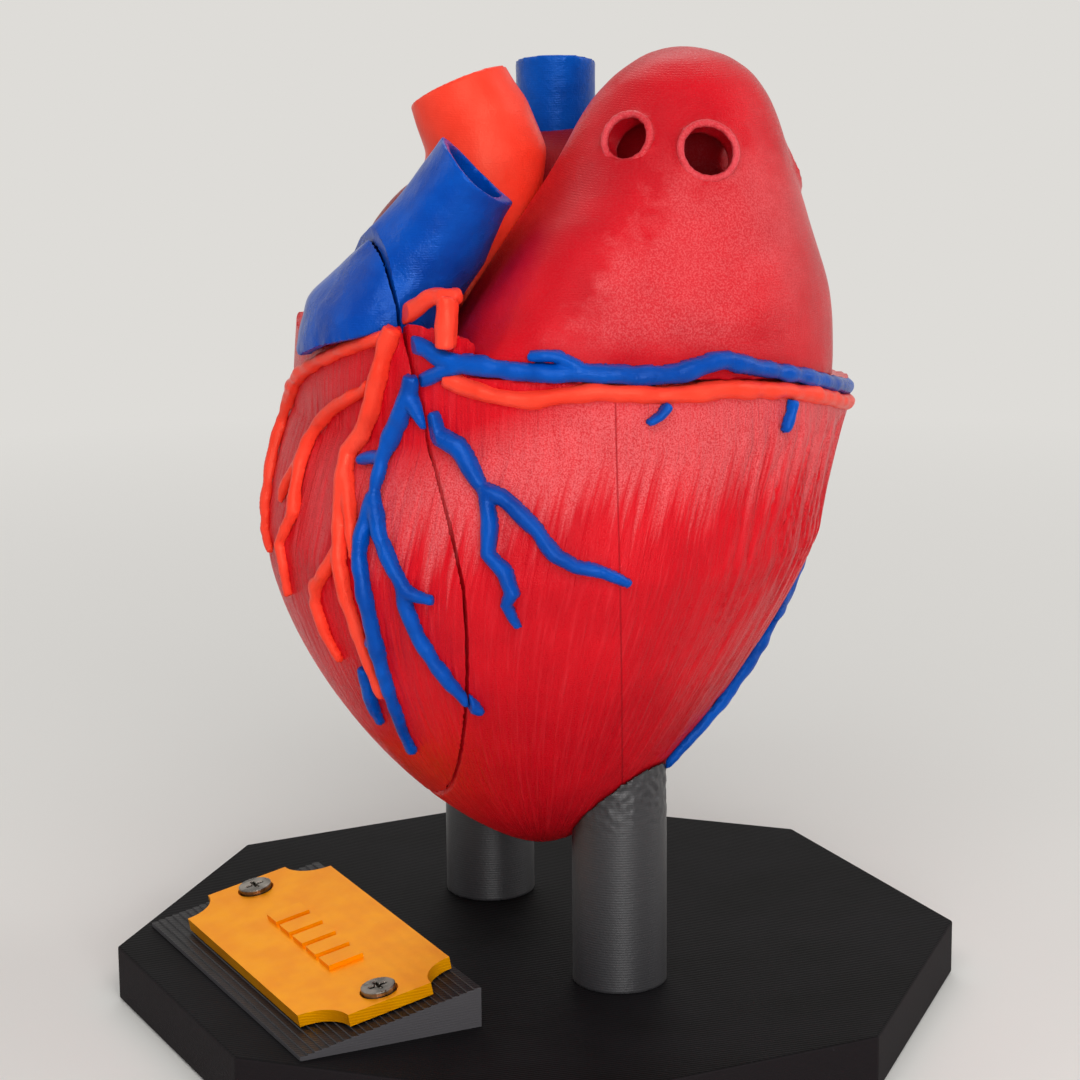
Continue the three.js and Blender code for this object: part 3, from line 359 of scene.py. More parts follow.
def new_finish(name, roughness, metallic=0.0, shine=0.3, tint="#FFFFFF", layered=0.0):
    """A finish; a layered print spreads its highlights up and down, across its layers."""
    finish = bpy.data.materials.new(name)
    finish.use_nodes = True
    tree = finish.node_tree
    shader = tree.nodes["Principled BSDF"]
    shader.inputs["Roughness"].default_value = roughness
    shader.inputs["Metallic"].default_value = metallic
    shader.inputs["Specular IOR Level"].default_value = 0.5 if metallic else shine
    shader.inputs["Specular Tint"].default_value = colour(tint)
    if layered:
        shader.inputs["Anisotropic"].default_value = layered
        shader.inputs["Anisotropic Rotation"].default_value = 0.25
        upright = add(tree, "ShaderNodeTangent", "Tangent", direction_type="RADIAL", axis="Z")
        tree.links.new(upright, shader.inputs["Tangent"])
    return finish, tree, shader, add(tree, "ShaderNodeTexCoord", "Object")


def per_mm(size):
    """Noise scale whose lumps are about so many millimetres."""
    return 1 / (size * MM)


def lines_per_mm(size):
    """Wave scale whose lines are so many millimetres apart."""
    return 2 * math.pi / (20 * size * MM)


def two_shades(tree, coords, lump, dark, light):
    """Colour that drifts between two shades, as a print's does, in lumps of so many millimetres."""
    drift = add(tree, "ShaderNodeTexNoise", "Fac", {"Vector": coords, "Scale": per_mm(lump), "Detail": 3})
    share = add(tree, "ShaderNodeMapRange", "Result", {"Value": drift, "From Min": 0.35, "From Max": 0.65})
    return add(tree, "ShaderNodeMix", "Result_Color", {"Factor_Float": share, "A_Color": colour(dark),
                                                       "B_Color": colour(light)}, data_type="RGBA")


def set_relief(tree, shader, *patterns):
    """Raises the finish by patterns from the broadest to the finest, each with its depth in millimetres."""
    below = {}
    for pattern, depth in patterns:
        normal = add(tree, "ShaderNodeBump", "Normal", {"Height": pattern, "Distance": depth * MM, **below})
        below = {"Normal": normal}
    tree.links.new(normal, shader.inputs["Normal"])


def limited(tree, share, *limits):
    """Share times what each value allows: its low and high end, and the share that it allows at each."""
    for value, low, high, at_low, at_high in limits:
        allowed = add(tree, "ShaderNodeMapRange", "Result", {
            "Value": value, "From Min": low, "From Max": high, "To Min": at_low, "To Max": at_high})
        share = add(tree, "ShaderNodeMath", "Value", {"Value": share, "Value_001": allowed},
                    operation="MULTIPLY")
    return share


# Finishes: real layers are about 0.2 mm high, and are drawn 0.35 to 0.5 mm apart so that they show

def print_seam(tree, coords):
    """Share that is 0.8 on the faint upright line where each printed layer starts and ends."""
    turn = math.radians(PRINT_SEAM_TURN)
    along = add(tree, "ShaderNodeVectorMath", "Value",
                {"Vector": coords, "Vector_001": (math.cos(turn), math.sin(turn), 0.02)},
                operation="DOT_PRODUCT")
    off = add(tree, "ShaderNodeMath", "Value", {"Value": along, "Value_001": PRINT_SEAM_OFFSET * MM},
              operation="SUBTRACT")
    off = add(tree, "ShaderNodeMath", "Value", {"Value": off}, operation="ABSOLUTE")
    return add(tree, "ShaderNodeMapRange", "Result", {
        "Value": off, "From Min": 0.05 * MM, "From Max": 0.22 * MM, "To Min": 0.8, "To Max": 0})


def band_painted_highlight(tree, fibre, grain):
    """Share of the painted highlight: a pale pink band across the top of the ventricles, torn along its lower
    edge.
    """
    height = add(tree, "ShaderNodeSeparateXYZ", "Z", {"Vector": fibre})
    depth = add(tree, "ShaderNodeSeparateXYZ", "Y", {"Vector": fibre})
    side = add(tree, "ShaderNodeVectorMath", "Value", {"Vector": fibre, "Vector_001": (0.9, -0.1, 0)},
               operation="DOT_PRODUCT")
    forward = add(tree, "ShaderNodeMapRange", "Result",
                  {"Value": depth, "From Min": -20 * MM, "From Max": -42 * MM})
    along = add(tree, "ShaderNodeMapping", "Vector", {"Vector": fibre, "Scale": (1, 1, 0.04)})
    torn = add(tree, "ShaderNodeTexNoise", "Fac",
               {"Vector": along, "Scale": per_mm(1.6), "Detail": 3, "Roughness": 0.7})
    torn = add(tree, "ShaderNodeMapRange", "Result", {
        "Value": torn, "From Min": 0.3, "From Max": 0.7, "To Min": -8 * MM, "To Max": 8 * MM})
    lower = add(tree, "ShaderNodeMath", "Value", {"Value": height, "Value_001": torn}, operation="ADD")
    lower = add(tree, "ShaderNodeMath", "Value",
                {"Value": forward, "Value_001": 9 * MM, "Value_002": lower}, operation="MULTIPLY_ADD")
    upper = add(tree, "ShaderNodeMath", "Value",
                {"Value": forward, "Value_001": 14 * MM, "Value_002": height}, operation="MULTIPLY_ADD")
    grainy = add(tree, "ShaderNodeMapRange", "Result", {
        "Value": grain, "From Min": 0.36, "From Max": 0.62, "To Min": 0.2, "To Max": 0.75})
    return limited(tree, grainy, (lower, 97 * MM, 106 * MM, 0, 1), (upper, 116 * MM, 124 * MM, 1, 0),
                   (side, 0, 32 * MM, 0.1, 0.62))


def red_fibre_print():
    """Red PLA of the ventricles, in fine layers: satin, with long paler streaks and a band of painted
    highlight.
    """
    finish, tree, shader, coords = new_finish("red PLA print, fibred", 0.42, shine=0.4, tint="#FF9090",
                                              layered=0.7)
    fibre = add(tree, "ShaderNodeAttribute", "Vector", attribute_name="fibre")
    along = add(tree, "ShaderNodeMapping", "Vector", {"Vector": fibre, "Scale": (1, 1, 0.07)})
    streaks = add(tree, "ShaderNodeTexNoise", "Fac",
                  {"Vector": along, "Scale": per_mm(0.9), "Detail": 3, "Roughness": 0.6})
    grain = add(tree, "ShaderNodeTexNoise", "Fac", {"Vector": coords, "Scale": per_mm(0.26), "Detail": 1})
    layers = add(tree, "ShaderNodeTexWave", "Fac", {
        "Vector": coords, "Scale": lines_per_mm(0.35), "Distortion": 0.6, "Detail": 1, "Detail Scale": 0.4},
        bands_direction="Z")
    streaked = add(tree, "ShaderNodeMapRange", "Result",
                   {"Value": streaks, "From Min": 0.52, "From Max": 0.72, "To Max": 0.4})
    paint = two_shades(tree, coords, 14, "#C6081A", "#D80E1E")
    # Painted highlight: a pale pink band across the top, strongest on the side towards the lamps
    for share, over in ((streaked, "#E4303A"), (band_painted_highlight(tree, fibre, grain), "#F4888A"),
                        (print_seam(tree, coords), "#9C0412")):
        paint = add(tree, "ShaderNodeMix", "Result_Color", {
            "Factor_Float": share, "A_Color": paint, "B_Color": colour(over)}, data_type="RGBA")
    tree.links.new(paint, shader.inputs["Base Color"])
    set_relief(tree, shader, (streaks, 0.35), (layers, 0.008), (grain, 0.1))
    dull = add(tree, "ShaderNodeMapRange", "Result", {
        "Value": streaks, "From Min": 0.3, "From Max": 0.7, "To Min": 0.3, "To Max": 0.42})
    grainy = add(tree, "ShaderNodeMapRange", "Result", {
        "Value": grain, "From Min": 0.35, "From Max": 0.65, "To Min": -0.08, "To Max": 0.14})
    rough = add(tree, "ShaderNodeMath", "Value", {"Value": dull, "Value_001": grainy}, operation="ADD")
    tree.links.new(rough, shader.inputs["Roughness"])
    return finish


def dome_painted_highlight(tree, coords, grain):
    """Share of the painted highlight patch on the left atrium: most on its lower flank, none at its top or
    above the vein.
    """
    torn = add(tree, "ShaderNodeTexNoise", "Fac",
               {"Vector": coords, "Scale": per_mm(7), "Detail": 4, "Roughness": 0.6})
    torn = add(tree, "ShaderNodeMapRange", "Result", {
        "Value": torn, "From Min": 0.3, "From Max": 0.7, "To Min": -7 * MM, "To Max": 7 * MM})
    flank = add(tree, "ShaderNodeVectorMath", "Value",
                {"Vector": coords, "Vector_001": (0.44, 0.9, -0.69)}, operation="DOT_PRODUCT")
    level = add(tree, "ShaderNodeVectorMath", "Value",
                {"Vector": coords, "Vector_001": (-0.11, 0.1, 1)}, operation="DOT_PRODUCT")
    flank = add(tree, "ShaderNodeMath", "Value", {"Value": flank, "Value_001": torn}, operation="ADD")
    height = add(tree, "ShaderNodeMath", "Value", {"Value": level, "Value_001": torn}, operation="ADD")
    grainy = add(tree, "ShaderNodeMapRange", "Result",
                 {"Value": grain, "From Min": 0.38, "From Max": 0.64, "To Min": 0.3})
    return limited(tree, grainy, (flank, -86 * MM, -78 * MM, 0, 1), (height, 158 * MM, 146 * MM, 0, 1),
                   (flank, -60 * MM, -42 * MM, 1, 0.2), (level, 119 * MM, 123 * MM, 0, 1))


def red_smooth_print(name, dark, light, painted_specks, painted_highlight=0.0):
    """Red PLA of the atria, printed in fine level layers: satin, with pale pink specks of painted highlight
    in its grain, and where asked a larger patch of painted highlight.
    """
    finish, tree, shader, coords = new_finish(name, 0.4, shine=0.4, tint="#FF9090", layered=0.5)
    grain = add(tree, "ShaderNodeTexNoise", "Fac", {"Vector": coords, "Scale": per_mm(0.3), "Detail": 1})
    lumps = add(tree, "ShaderNodeTexNoise", "Fac", {"Vector": coords, "Scale": per_mm(6)})
    layers = add(tree, "ShaderNodeTexWave", "Fac", {
        "Vector": coords, "Scale": lines_per_mm(0.35), "Distortion": 0.6, "Detail": 1, "Detail Scale": 0.4},
        bands_direction="Z")
    # Painted highlight: pale pink specks on the peaks of the grain
    share = add(tree, "ShaderNodeMapRange", "Result",
                {"Value": grain, "From Min": 0.42, "From Max": 0.66, "To Max": painted_specks})
    # Painted highlight: a pale pink patch laid over the specks
    if painted_highlight:
        share = add(tree, "ShaderNodeMath", "Value", {
            "Value": dome_painted_highlight(tree, coords, grain), "Value_001": painted_highlight, "Value_002": share},
            operation="MULTIPLY_ADD")
    paint = add(tree, "ShaderNodeMix", "Result_Color", {
        "Factor_Float": share, "A_Color": two_shades(tree, coords, 16, dark, light),
        "B_Color": colour("#F4888A")}, data_type="RGBA")
    tree.links.new(paint, shader.inputs["Base Color"])
    set_relief(tree, shader, (lumps, 0.2), (layers, 0.012), (grain, 0.075))
    rough = add(tree, "ShaderNodeMapRange", "Result", {
        "Value": grain, "From Min": 0.35, "From Max": 0.65, "To Min": 0.3, "To Max": 0.5})
    tree.links.new(rough, shader.inputs["Roughness"])
    return finish


def coloured_print(name, dark, light, tint, roughness, lump, depth):
    """Coloured PLA of the vessels: a clear strong colour, satin, slightly lumpy."""
    finish, tree, shader, coords = new_finish(name, roughness, shine=0.45, tint=tint)
    tree.links.new(two_shades(tree, coords, 7, dark, light), shader.inputs["Base Color"])
    gloss = add(tree, "ShaderNodeTexNoise", "Fac", {"Vector": coords, "Scale": per_mm(9)})
    rough = add(tree, "ShaderNodeMapRange", "Result", {
        "Value": gloss, "From Min": 0.35, "From Max": 0.65,
        "To Min": roughness - 0.08, "To Max": roughness + 0.1})
    tree.links.new(rough, shader.inputs["Roughness"])
    lumps = add(tree, "ShaderNodeTexNoise", "Fac", {"Vector": coords, "Scale": per_mm(lump), "Detail": 3})
    layers = add(tree, "ShaderNodeTexWave", "Fac", {
        "Vector": coords, "Scale": lines_per_mm(0.4), "Distortion": 0.6, "Detail": 1, "Detail Scale": 0.4},
        bands_direction="Z")
    grain = add(tree, "ShaderNodeTexNoise", "Fac", {"Vector": coords, "Scale": per_mm(0.3), "Detail": 1})
    set_relief(tree, shader, (lumps, depth), (layers, 0.008), (grain, 0.04))
    return finish


def black_print(name, dark, light, side, roughness, shine, layered=0.0):
    """Black PLA of the stand: near black, satin, drawn in slanting lines on top, with painted sheen that
    makes the sides greyer.
    """
    finish, tree, shader, coords = new_finish(name, roughness, shine=shine, layered=layered)
    normal = add(tree, "ShaderNodeNewGeometry", "Normal")
    upward = add(tree, "ShaderNodeSeparateXYZ", "Z", {"Vector": normal})
    top = add(tree, "ShaderNodeMapRange", "Result", {"Value": upward, "From Min": 0.6, "From Max": 0.9})
    specks = add(tree, "ShaderNodeTexNoise", "Fac",
                 {"Vector": coords, "Scale": per_mm(0.9), "Detail": 4, "Roughness": 0.7})
    dusty = add(tree, "ShaderNodeMapRange", "Result",
                {"Value": specks, "From Min": 0.66, "From Max": 0.76, "To Max": 0.4})
    level = two_shades(tree, coords, 18, dark, light)
    # Painted sheen: faces that are not level take the lighter side colour
    paint = add(tree, "ShaderNodeMix", "Result_Color", {
        "Factor_Float": top, "A_Color": colour(side), "B_Color": level}, data_type="RGBA")
    paint = add(tree, "ShaderNodeMix", "Result_Color", {
        "Factor_Float": dusty, "A_Color": paint, "B_Color": colour("#4A484C")}, data_type="RGBA")
    tree.links.new(paint, shader.inputs["Base Color"])
    slant = add(tree, "ShaderNodeMapping", "Vector", {"Vector": coords, "Rotation": (0, 0, math.radians(45))})
    raster = add(tree, "ShaderNodeTexWave", "Fac", {
        "Vector": slant, "Scale": lines_per_mm(0.8), "Distortion": 0.3, "Detail": 1, "Detail Scale": 0.4},
        bands_direction="X")
    raster = add(tree, "ShaderNodeMath", "Value", {"Value": raster, "Value_001": top}, operation="MULTIPLY")
    layers = add(tree, "ShaderNodeTexWave", "Fac", {
        "Vector": coords, "Scale": lines_per_mm(0.45), "Distortion": 0.6, "Detail": 1, "Detail Scale": 0.4},
        bands_direction="Z")
    set_relief(tree, shader, (raster, 0.05), (layers, 0.014), (specks, 0.06))
    return finish


def gold_print():
    """Silk PLA of the nameplate: golden yellow, glossy, in fine layers."""
    finish, tree, shader, coords = new_finish("golden silk PLA print", 0.36, metallic=0.45, tint="#FFA800")
    tree.links.new(two_shades(tree, coords, 6, "#F29A00", "#F8A600"), shader.inputs["Base Color"])
    lumps = add(tree, "ShaderNodeTexNoise", "Fac", {"Vector": coords, "Scale": per_mm(2.5)})
    layers = add(tree, "ShaderNodeTexWave", "Fac", {
        "Vector": coords, "Scale": lines_per_mm(0.5), "Distortion": 0.2, "Detail": 1, "Detail Scale": 0.4},
        bands_direction="Z")
    set_relief(tree, shader, (lumps, 0.06), (layers, 0.02))
    return finish


def nickel():
    """Nickel-plated steel of the screws and magnets: dark, worn bright in places."""
    finish, tree, shader, coords = new_finish("nickel-plated steel", 0.3, metallic=1.0)
    wear = add(tree, "ShaderNodeTexNoise", "Fac", {"Vector": coords, "Scale": per_mm(2.5)})
    bright = add(tree, "ShaderNodeMapRange", "Result", {"Value": wear, "From Min": 0.4, "From Max": 0.62})
    paint = add(tree, "ShaderNodeMix", "Result_Color", {
        "Factor_Float": bright, "A_Color": colour("#5E5953"), "B_Color": colour("#857F77")},
        data_type="RGBA")
    tree.links.new(paint, shader.inputs["Base Color"])
    rough = add(tree, "ShaderNodeMapRange", "Result", {
        "Value": wear, "From Min": 0.35, "From Max": 0.65, "To Min": 0.22, "To Max": 0.42})
    tree.links.new(rough, shader.inputs["Roughness"])
    return finish


RED_FIBRE = red_fibre_print()
# The left atrium's red carries a patch of painted highlight
RED_SMOOTH = red_smooth_print("red PLA print, smooth", "#BC0418", "#D0091C", painted_specks=0.03, painted_highlight=0.26)
# Right atrium: the same red PLA, darkened all over with painted shade
SHADED_RED = red_smooth_print("red PLA print, painted shade", "#780410", "#8E0815", painted_specks=0.02)
PALE_RED = red_smooth_print("red PLA print, rough lip", "#CC2A34", "#E0505A", painted_specks=0.2)
CORAL = coloured_print("coral PLA print", "#F83A26", "#FE4632", "#FFC0A0", 0.38, lump=2.2, depth=0.1)
TRUNK_BLUE = coloured_print("blue PLA print, varnished", "#003C9C", "#004CB2", "#80B0FF", 0.3,
                            lump=3.2, depth=0.3)
VEIN_BLUE = coloured_print("blue PLA print", "#003E98", "#0050B4", "#80B0FF", 0.34, lump=1.6, depth=0.16)
# Side colours are painted sheen, lightest on the wedge
BLACK = black_print("black PLA print", "#0A090A", "#111012", "#1E1A1C", 0.66, 0.06)
WEDGE_BLACK = black_print("black PLA print, painted sheen on sides", "#0F0E0F", "#171518", "#4C4A4D", 0.5, 0.2)
# Posts: a lighter black, which is painted sheen, as well as a glossier finish
POST_BLACK = black_print("black PLA print, glossier, painted lighter", "#232225", "#2E2D30", "#29282B", 0.48, 0.7,
                         layered=0.6)
GOLD = gold_print()
NICKEL = nickel()


def dress(piece, finish, body, *replaced):
    """Gives a finished piece its material, its body and the nodes that it stands for."""
    piece.data.materials.clear()
    piece.data.materials.append(finish)
    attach(piece, body)
    if replaced:
        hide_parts(*replaced)


# Stand

def post(side):
    """Round post whose cut top carries rough crumbs of print."""
    node = f"support_post_{side}"
    place = np.array(POST_PLACES[side])
    voxel = 0.35
    piece = copy_node(node, f"post_{side}")
    even_mesh(piece, voxel)
    points = points_of(piece)
    away = points[:, :2] - place
    reach = np.linalg.norm(away, axis=1)
    shaft = (reach > POST_RADIUS - voxel) & (points[:, 2] > BASE_THICKNESS + 0.3)
    points[shaft, :2] = place + away[shaft] / reach[shaft, None] * POST_RADIUS
    top = points[:, 2].max()
    rough = CRUMB_HEIGHT * smoothstep(points[:, 2], top - CRUMB_ZONE[0], top - CRUMB_ZONE[1])
    points += normals_of(piece) * (rough * (noise_at(points, 1.1) - 0.4))[:, None]
    move_to(piece, points)
    dress(piece, POST_BLACK, "stand", node)


def wedge():
    """Sloped block under the nameplate, with a step for each of its flat printed layers."""
    low, high = [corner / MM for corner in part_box("nameplate_wedge")]
    size = high - low
    rows = 2 * WEDGE_STEPS
    bpy.ops.mesh.primitive_grid_add(x_subdivisions=1, y_subdivisions=rows - 1, size=MM)
    piece = bpy.context.active_object
    piece.name = "stepped_wedge"
    points = points_of(piece)
    row = np.round((points[:, 1] + 0.5) * (rows - 1)).astype(int)
    points[:, 0] = (low.x + high.x) / 2 + np.sign(points[:, 0]) * size.x / 2
    points[:, 1] = low.y + size.y * ((row + 1) // 2) / WEDGE_STEPS
    points[:, 2] = low.z + FIRST_STEP + (size.z - FIRST_STEP) * (row // 2) / WEDGE_STEPS
    move_to(piece, points)
    edit_all_of(piece)
    bpy.ops.mesh.extrude_region_move(TRANSFORM_OT_translate={"value": (0, 0, -20 * MM)})
    end_editing()
    points = points_of(piece)
    points[points[:, 2] < low.z - 1, 2] = low.z
    move_to(piece, points)
    edit_all_of(piece)
    bpy.ops.mesh.normals_make_consistent(inside=False)
    end_editing()
    modify(piece, "BEVEL", width=0.06 * MM, segments=2, limit_method="ANGLE")
    dress(piece, WEDGE_BLACK, "stand", "nameplate_wedge")


base = copy_node("base_plate", "octagon_base")
round_edges(base, width=0.5)
dress(base, BLACK, "stand", "base_plate")
for side in POST_PLACES:
    post(side)
wedge()

plate = copy_node("nameplate", "golden_plate")
round_edges(plate, width=0.35)
dress(plate, GOLD, "stand", "nameplate")

for side in ("left", "right"):
    screw = copy_node(f"nameplate_screw_{side}", f"cross_screw_{side}")
    even_mesh(screw, voxel=0.12)
    soften(screw, rounds=4)
    dress(screw, NICKEL, "stand", f"nameplate_screw_{side}")

for name, node in nodes.items():
    if "magnet" in name:
        node.data.materials.clear()
        node.data.materials.append(NICKEL)


# Prints of the heart

def rear_ventricles():
    """Rear red print: smooth above the groove, fibred below it, cut off crisp at the seam."""
    piece = copy_node("ventricle_body", "rear_ventricles")
    draw_past_seam(piece, -SEAM_GAP, front=False)
    even_mesh(piece, voxel=0.85)
    points = points_of(piece)
    heights = points[:, 2]
    by_seam = near(points, seam_distance(points), width=4) + smoothstep(heights, 44, 60)
    soften(piece, 24, near(points, groove_distance(points), width=3) * smoothstep(heights, 118, 112)
           * np.clip(by_seam, 0.1, 1))
    onto_wall(piece)
    muscle_fibres(piece)
    cut_at_seam(piece, -SEAM_GAP, front=False)
    add_fibre_route(piece)
    dress(piece, RED_FIBRE, "heart", "ventricle_body")


def front_print():
    """Front red print, fibred and cut off crisp at the seam."""
    piece = copy_node("front_wall", "front_print")
    draw_past_seam(piece, 0, front=True)
    even_mesh(piece, voxel=0.55)
    heights = points_of(piece)[:, 2]
    soften(piece, 24, smoothstep(heights, 118, 112) * (0.1 + 0.9 * smoothstep(heights, 44, 60)))
    onto_wall(piece)
    muscle_fibres(piece)
    cut_at_seam(piece, 0, front=True)
    add_fibre_route(piece)
    dress(piece, RED_FIBRE, "front_cover", "front_wall")


def left_atrium():
    """Smooth red dome with soft swellings and a crease above the long vein."""
    piece = copy_node("left_atrium", "left_atrium_dome")
    even_mesh(piece, voxel=0.65)
    points = points_of(piece)
    keep = near(points, groove_distance(points))
    for mouth, radius, facing in LUNG_VEIN_MOUTHS:
        away = np.linalg.norm(points - np.array(mouth), axis=1)
        least = 0 if facing < 0 else 0.4
        keep = np.minimum(keep, np.maximum(smoothstep(away, radius + 1, radius + 4), least))
    soften(piece, 50, keep)
    soften(piece, 3)
    points = points_of(piece)
    height = groove_distance(points)
    swell = noise_at(points, 13) * 0.4 * smoothstep(height, 1, 6) - 0.15
    away, _ = round_the_heart(points)
    facing = np.degrees(np.arctan2(away[:, 1], away[:, 0]))
    crease = np.exp(-((height - 7) / 2.6) ** 2 - ((facing - 4) / 15) ** 2)
    move_to(piece, points + normals_of(piece) * (swell - 1.1 * crease)[:, None])
    dress(piece, RED_SMOOTH, "heart", "left_atrium")


def vein_lip(mouth, radius, facing):
    """Rough pale lip that the print leaves round the mouth of a lung vein."""
    bpy.ops.object.select_all(action="DESELECT")
    bpy.ops.mesh.primitive_torus_add(major_segments=72, minor_segments=12,
                                     major_radius=(radius + LIP_OFFSET) * MM, minor_radius=LIP_RADIUS * MM)
    ring = bpy.context.active_object
    turn = (Matrix.Rotation(math.radians(facing), 4, "Z")
            @ Matrix.Rotation(math.radians(90 - LUNG_VEIN_TILT), 4, "Y"))
    ring.data.transform(Matrix.Translation(Vector(mouth) * MM + turn @ Vector((0, 0, LIP_RISE * MM))) @ turn)
    points = points_of(ring)
    move_to(ring, points + normals_of(ring) * (0.16 * noise_at(points, 0.8))[:, None])
    bpy.ops.object.shade_smooth()
    return ring


rear_ventricles()
front_print()
left_atrium()

lips = [vein_lip(*mouth) for mouth in LUNG_VEIN_MOUTHS[:2]]
select_only(*lips)
bpy.ops.object.join()
lips[0].name = "lung_vein_rims"
dress(lips[0], PALE_RED, "heart")

# Right atrium, whose darker red is painted shade
right_atrium = copy_node("right_atrium", "right_atrium_dome")
even_mesh(right_atrium, voxel=0.7)
points = points_of(right_atrium)
soften(right_atrium, 40, near(points, groove_distance(points)))
dress(right_atrium, SHADED_RED, "heart", "right_atrium")


# Great vessels

def tube(node, name, finish, body, cuts, seam=None, lumps=0.0):
    """Smooth copy of one of the great vessels, with its cut ends kept crisp."""
    piece = copy_node(node, name)
    if seam is not None:
        draw_past_seam(piece, seam, front=body == "front_cover")
    even_mesh(piece, voxel=0.5)
    points = points_of(piece)
    soften(piece, 40, near(points, *[cut(points) for cut in cuts]))
    soften(piece, 2)
    if lumps:
        points = points_of(piece)
        swell = lumps * noise_at(points, 7) - 0.6 * lumps
        move_to(piece, points + normals_of(piece) * swell[:, None])
    if seam is not None:
        cut_at_seam(piece, seam, front=body == "front_cover")
    dress(piece, finish, body, node)
    return piece


def shape_trunk_lip(piece):
    """Waves the rim of the trunk's mouth: low at the front and flared at its right-hand end."""
    points = points_of(piece)
    aim = np.array(TRUNK_END[1]) / np.linalg.norm(TRUNK_END[1])
    turn = math.radians(TRUNK_TURN)
    across = np.array((math.cos(turn), math.sin(turn), 0))
    front = np.array((math.sin(turn), -math.cos(turn), 0))
    off = points - np.array(TRUNK_END[0])
    below = -off @ aim
    dip = smoothstep(off @ front, 0, 6) * np.exp(-((off @ across) / 4.5) ** 2)
    dip *= 1 - smoothstep(below, 0, 7)
    end = smoothstep(off @ across, 3, 9)
    flare = 1.3 * (1 - smoothstep(below, 0, 3)) - 0.9 * np.exp(-((below - 5.5) / 2.4) ** 2)
    points += -1.6 * dip[:, None] * aim + (end * flare)[:, None] * across
    move_to(piece, points)


def lower_cone_rim(piece):
    """Takes the cone's upper rim down, which opens the joint that the photograph shows there."""
    points = points_of(piece)
    points[:, 2] -= 1.3 * (1 - smoothstep(above_cone_joint(points), 0.5, 2.5))
    move_to(piece, points)


tube("aorta", "aorta_tube", CORAL, "heart", [lambda p: end_distance(p, AORTA_END), groove_distance])
tube("superior_vena_cava", "upper_cava_tube", VEIN_BLUE, "heart", [lambda p: end_distance(p, CAVA_END)])
tube("inferior_vena_cava", "lower_cava_tube", VEIN_BLUE, "heart", [groove_distance])
trunk = tube("pulmonary_trunk", "trunk_tube", TRUNK_BLUE, "heart",
             [lambda p: end_distance(p, TRUNK_END), groove_distance], seam=-SEAM_GAP, lumps=0.3)
shape_trunk_lip(trunk)
cone = tube("pulmonary_cone", "cone_print", TRUNK_BLUE, "front_cover", [above_cone_joint], seam=0, lumps=0.3)
lower_cone_rim(cone)


# Small vessels

VESSELS = {
    "heart": {
        "great_cardiac_vein": VEIN_BLUE, "circumflex_artery": CORAL, "left_main_artery": CORAL,
        "right_coronary_artery": CORAL, "lateral_vein": VEIN_BLUE, "seam_vein": VEIN_BLUE,
        "marginal_vein_left": VEIN_BLUE, "marginal_vein_right": VEIN_BLUE, "posterior_vein": VEIN_BLUE,
        "middle_cardiac_vein": VEIN_BLUE, "posterior_artery": CORAL,
    },
    "front_cover": {
        "anterior_vein": VEIN_BLUE, "lower_vein": VEIN_BLUE, "anterior_artery": CORAL,
        "outer_artery": CORAL, "middle_artery": CORAL,
    },
}


def vessel(node, finish, body):
    """Round, slightly lumpy vessel that sinks into the wall below it."""
    piece = copy_node(node, f"{node}_print")
    even_mesh(piece, voxel=0.3)
    points = points_of(piece)
    cut = 0 if body == "front_cover" else -SEAM_GAP
    soften(piece, 10, smoothstep(np.abs(seam_distance(points) - cut), 0.2, 0.8))
    points = points_of(piece)
    outward = normals_of(piece)
    swell = 0.2 + 0.36 * noise_at(points, 3.2)
    under = smoothstep(-(outward[:, :2] * round_the_heart(points)[0]).sum(1), 0.2, 0.6)
    points += outward * (swell + 0.3 * under)[:, None]
    beyond = seam_distance(points) - cut
    beyond = np.minimum(beyond, 0) if body == "front_cover" else np.maximum(beyond, 0)
    move_to(piece, points - beyond[:, None] * SEAM_NORMAL)
    dress(piece, finish, body, node)


for body, vessels in VESSELS.items():
    for node, finish in vessels.items():
        vessel(node, finish, body)


# Studio

GROUND = colour("#DEDCD8")
FLOOR_SIZE = 12                 # metres
FLOOR_DROP = 0.2
LIGHT_AIM = 90                  # height

# Name, azimuth, elevation, distance and size in metres, power in watts
SOFT_BOXES = (
    ("overhead", 66, 48, 1.0, (0.9, 0.4), 4.8),
    ("front", 72, 12, 1.0, (0.5, 0.25), 3.9),
    ("left", -25, 25, 0.9, (0.3, 0.6), 0.7),
    ("rear", 160, 30, 0.9, (0.3, 0.7), 1.7),
    ("back", 250, 50, 1.0, (0.6, 0.6), 2),
)


def seen_directly(tree):
    """Share that is 1 for what the camera sees, also in a gloss or through a clear piece."""
    path = add(tree, "ShaderNodeLightPath", "Is Camera Ray").node.outputs
    seen = add(tree, "ShaderNodeMath", "Value", {
        "Value": path["Is Camera Ray"], "Value_001": path["Is Glossy Ray"]}, operation="ADD")
    seen = add(tree, "ShaderNodeMath", "Value", {
        "Value": seen, "Value_001": path["Is Transmission Ray"]}, operation="ADD")
    return add(tree, "ShaderNodeMath", "Value", {"Value": seen, "Value_001": 1}, operation="MINIMUM")


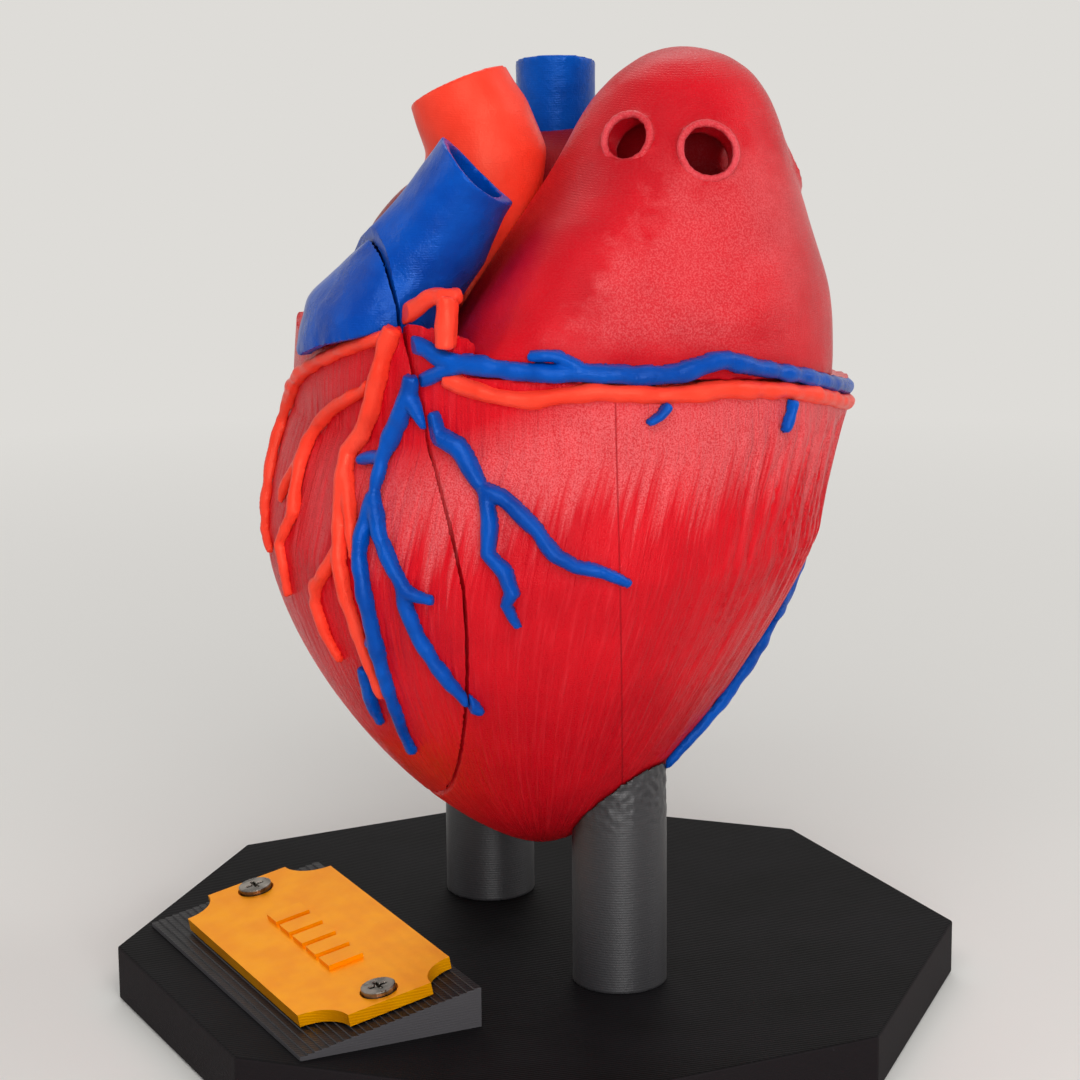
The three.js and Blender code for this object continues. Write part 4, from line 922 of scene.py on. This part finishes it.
def studio_floor():
    """Pale floor that carries the shadow and runs out into an even pale ground."""
    bpy.ops.object.select_all(action="DESELECT")
    bpy.ops.mesh.primitive_plane_add(size=FLOOR_SIZE, location=(0, 0, -FLOOR_DROP * MM))
    floor = bpy.context.active_object
    floor.name = "studio_floor"
    finish, tree, shader, coords = new_finish("pale matt floor", 0.9, shine=0.5)
    shader.inputs["Base Color"].default_value = colour("#ECEAE6")
    away = add(tree, "ShaderNodeVectorMath", "Value", {"Vector": coords}, operation="LENGTH")
    ground = add(tree, "ShaderNodeEmission", "Emission", {"Color": GROUND})
    mix = add(tree, "ShaderNodeMixShader", "Shader", {
        "Fac": limited(tree, seen_directly(tree), (away, 100 * MM, 500 * MM, 0, 1)),
        "Shader": shader.outputs["BSDF"], "Shader_001": ground})
    tree.links.new(mix, tree.nodes["Material Output"].inputs["Surface"])
    floor.data.materials.append(finish)


def soft_light(name, azimuth, elevation, distance, size, power):
    """Rectangular soft box aimed at the heart, placed by its angles round it."""
    light = bpy.data.lights.new(name, "AREA")
    light.shape = "RECTANGLE"
    light.size, light.size_y = size
    light.energy = power
    lamp = bpy.data.objects.new(name, light)
    bpy.context.collection.objects.link(lamp)
    rise, turn = math.radians(elevation), math.radians(azimuth)
    away = Vector((math.cos(rise) * math.sin(turn), -math.cos(rise) * math.cos(turn), math.sin(rise)))
    lamp.location = Vector((0, 0, LIGHT_AIM * MM)) + away * distance
    lamp.rotation_euler = away.to_track_quat("Z", "Y").to_euler()


def studio_world():
    """Weak even light all round, seen as the same pale ground above the floor's edge."""
    world = bpy.data.worlds.new("studio")
    world.use_nodes = True
    tree = world.node_tree
    light = tree.nodes["Background"]
    light.inputs["Color"].default_value = colour("#F2F1EF")
    light.inputs["Strength"].default_value = 0.2
    backdrop = add(tree, "ShaderNodeBackground", "Background", {"Color": GROUND})
    mix = add(tree, "ShaderNodeMixShader", "Shader", {
        "Fac": seen_directly(tree), "Shader": light.outputs["Background"], "Shader_001": backdrop})
    tree.links.new(mix, tree.nodes["World Output"].inputs["Surface"])
    bpy.context.scene.world = world


def photograph_camera():
    """Camera that looks at the middle of the model from the photograph's side."""
    lens = bpy.data.cameras.new("camera")
    lens.lens = CAMERA_LENS
    lens.sensor_width = CAMERA_SENSOR
    camera = bpy.data.objects.new("camera", lens)
    bpy.context.collection.objects.link(camera)
    turn = (Matrix.Rotation(math.radians(CAMERA_AZIMUTH), 4, "Z")
            @ Matrix.Rotation(math.radians(90 - CAMERA_ELEVATION), 4, "X")
            @ Matrix.Rotation(math.radians(CAMERA_ROLL), 4, "Z"))
    back_off = turn @ Vector((0, 0, CAMERA_DISTANCE * MM))
    camera.matrix_world = Matrix.Translation(Vector(CAMERA_TARGET) * MM + back_off) @ turn
    bpy.context.scene.camera = camera


studio_floor()
for soft_box in SOFT_BOXES:
    soft_light(*soft_box)
studio_world()
photograph_camera()
bpy.context.scene.view_settings.view_transform = "Standard"
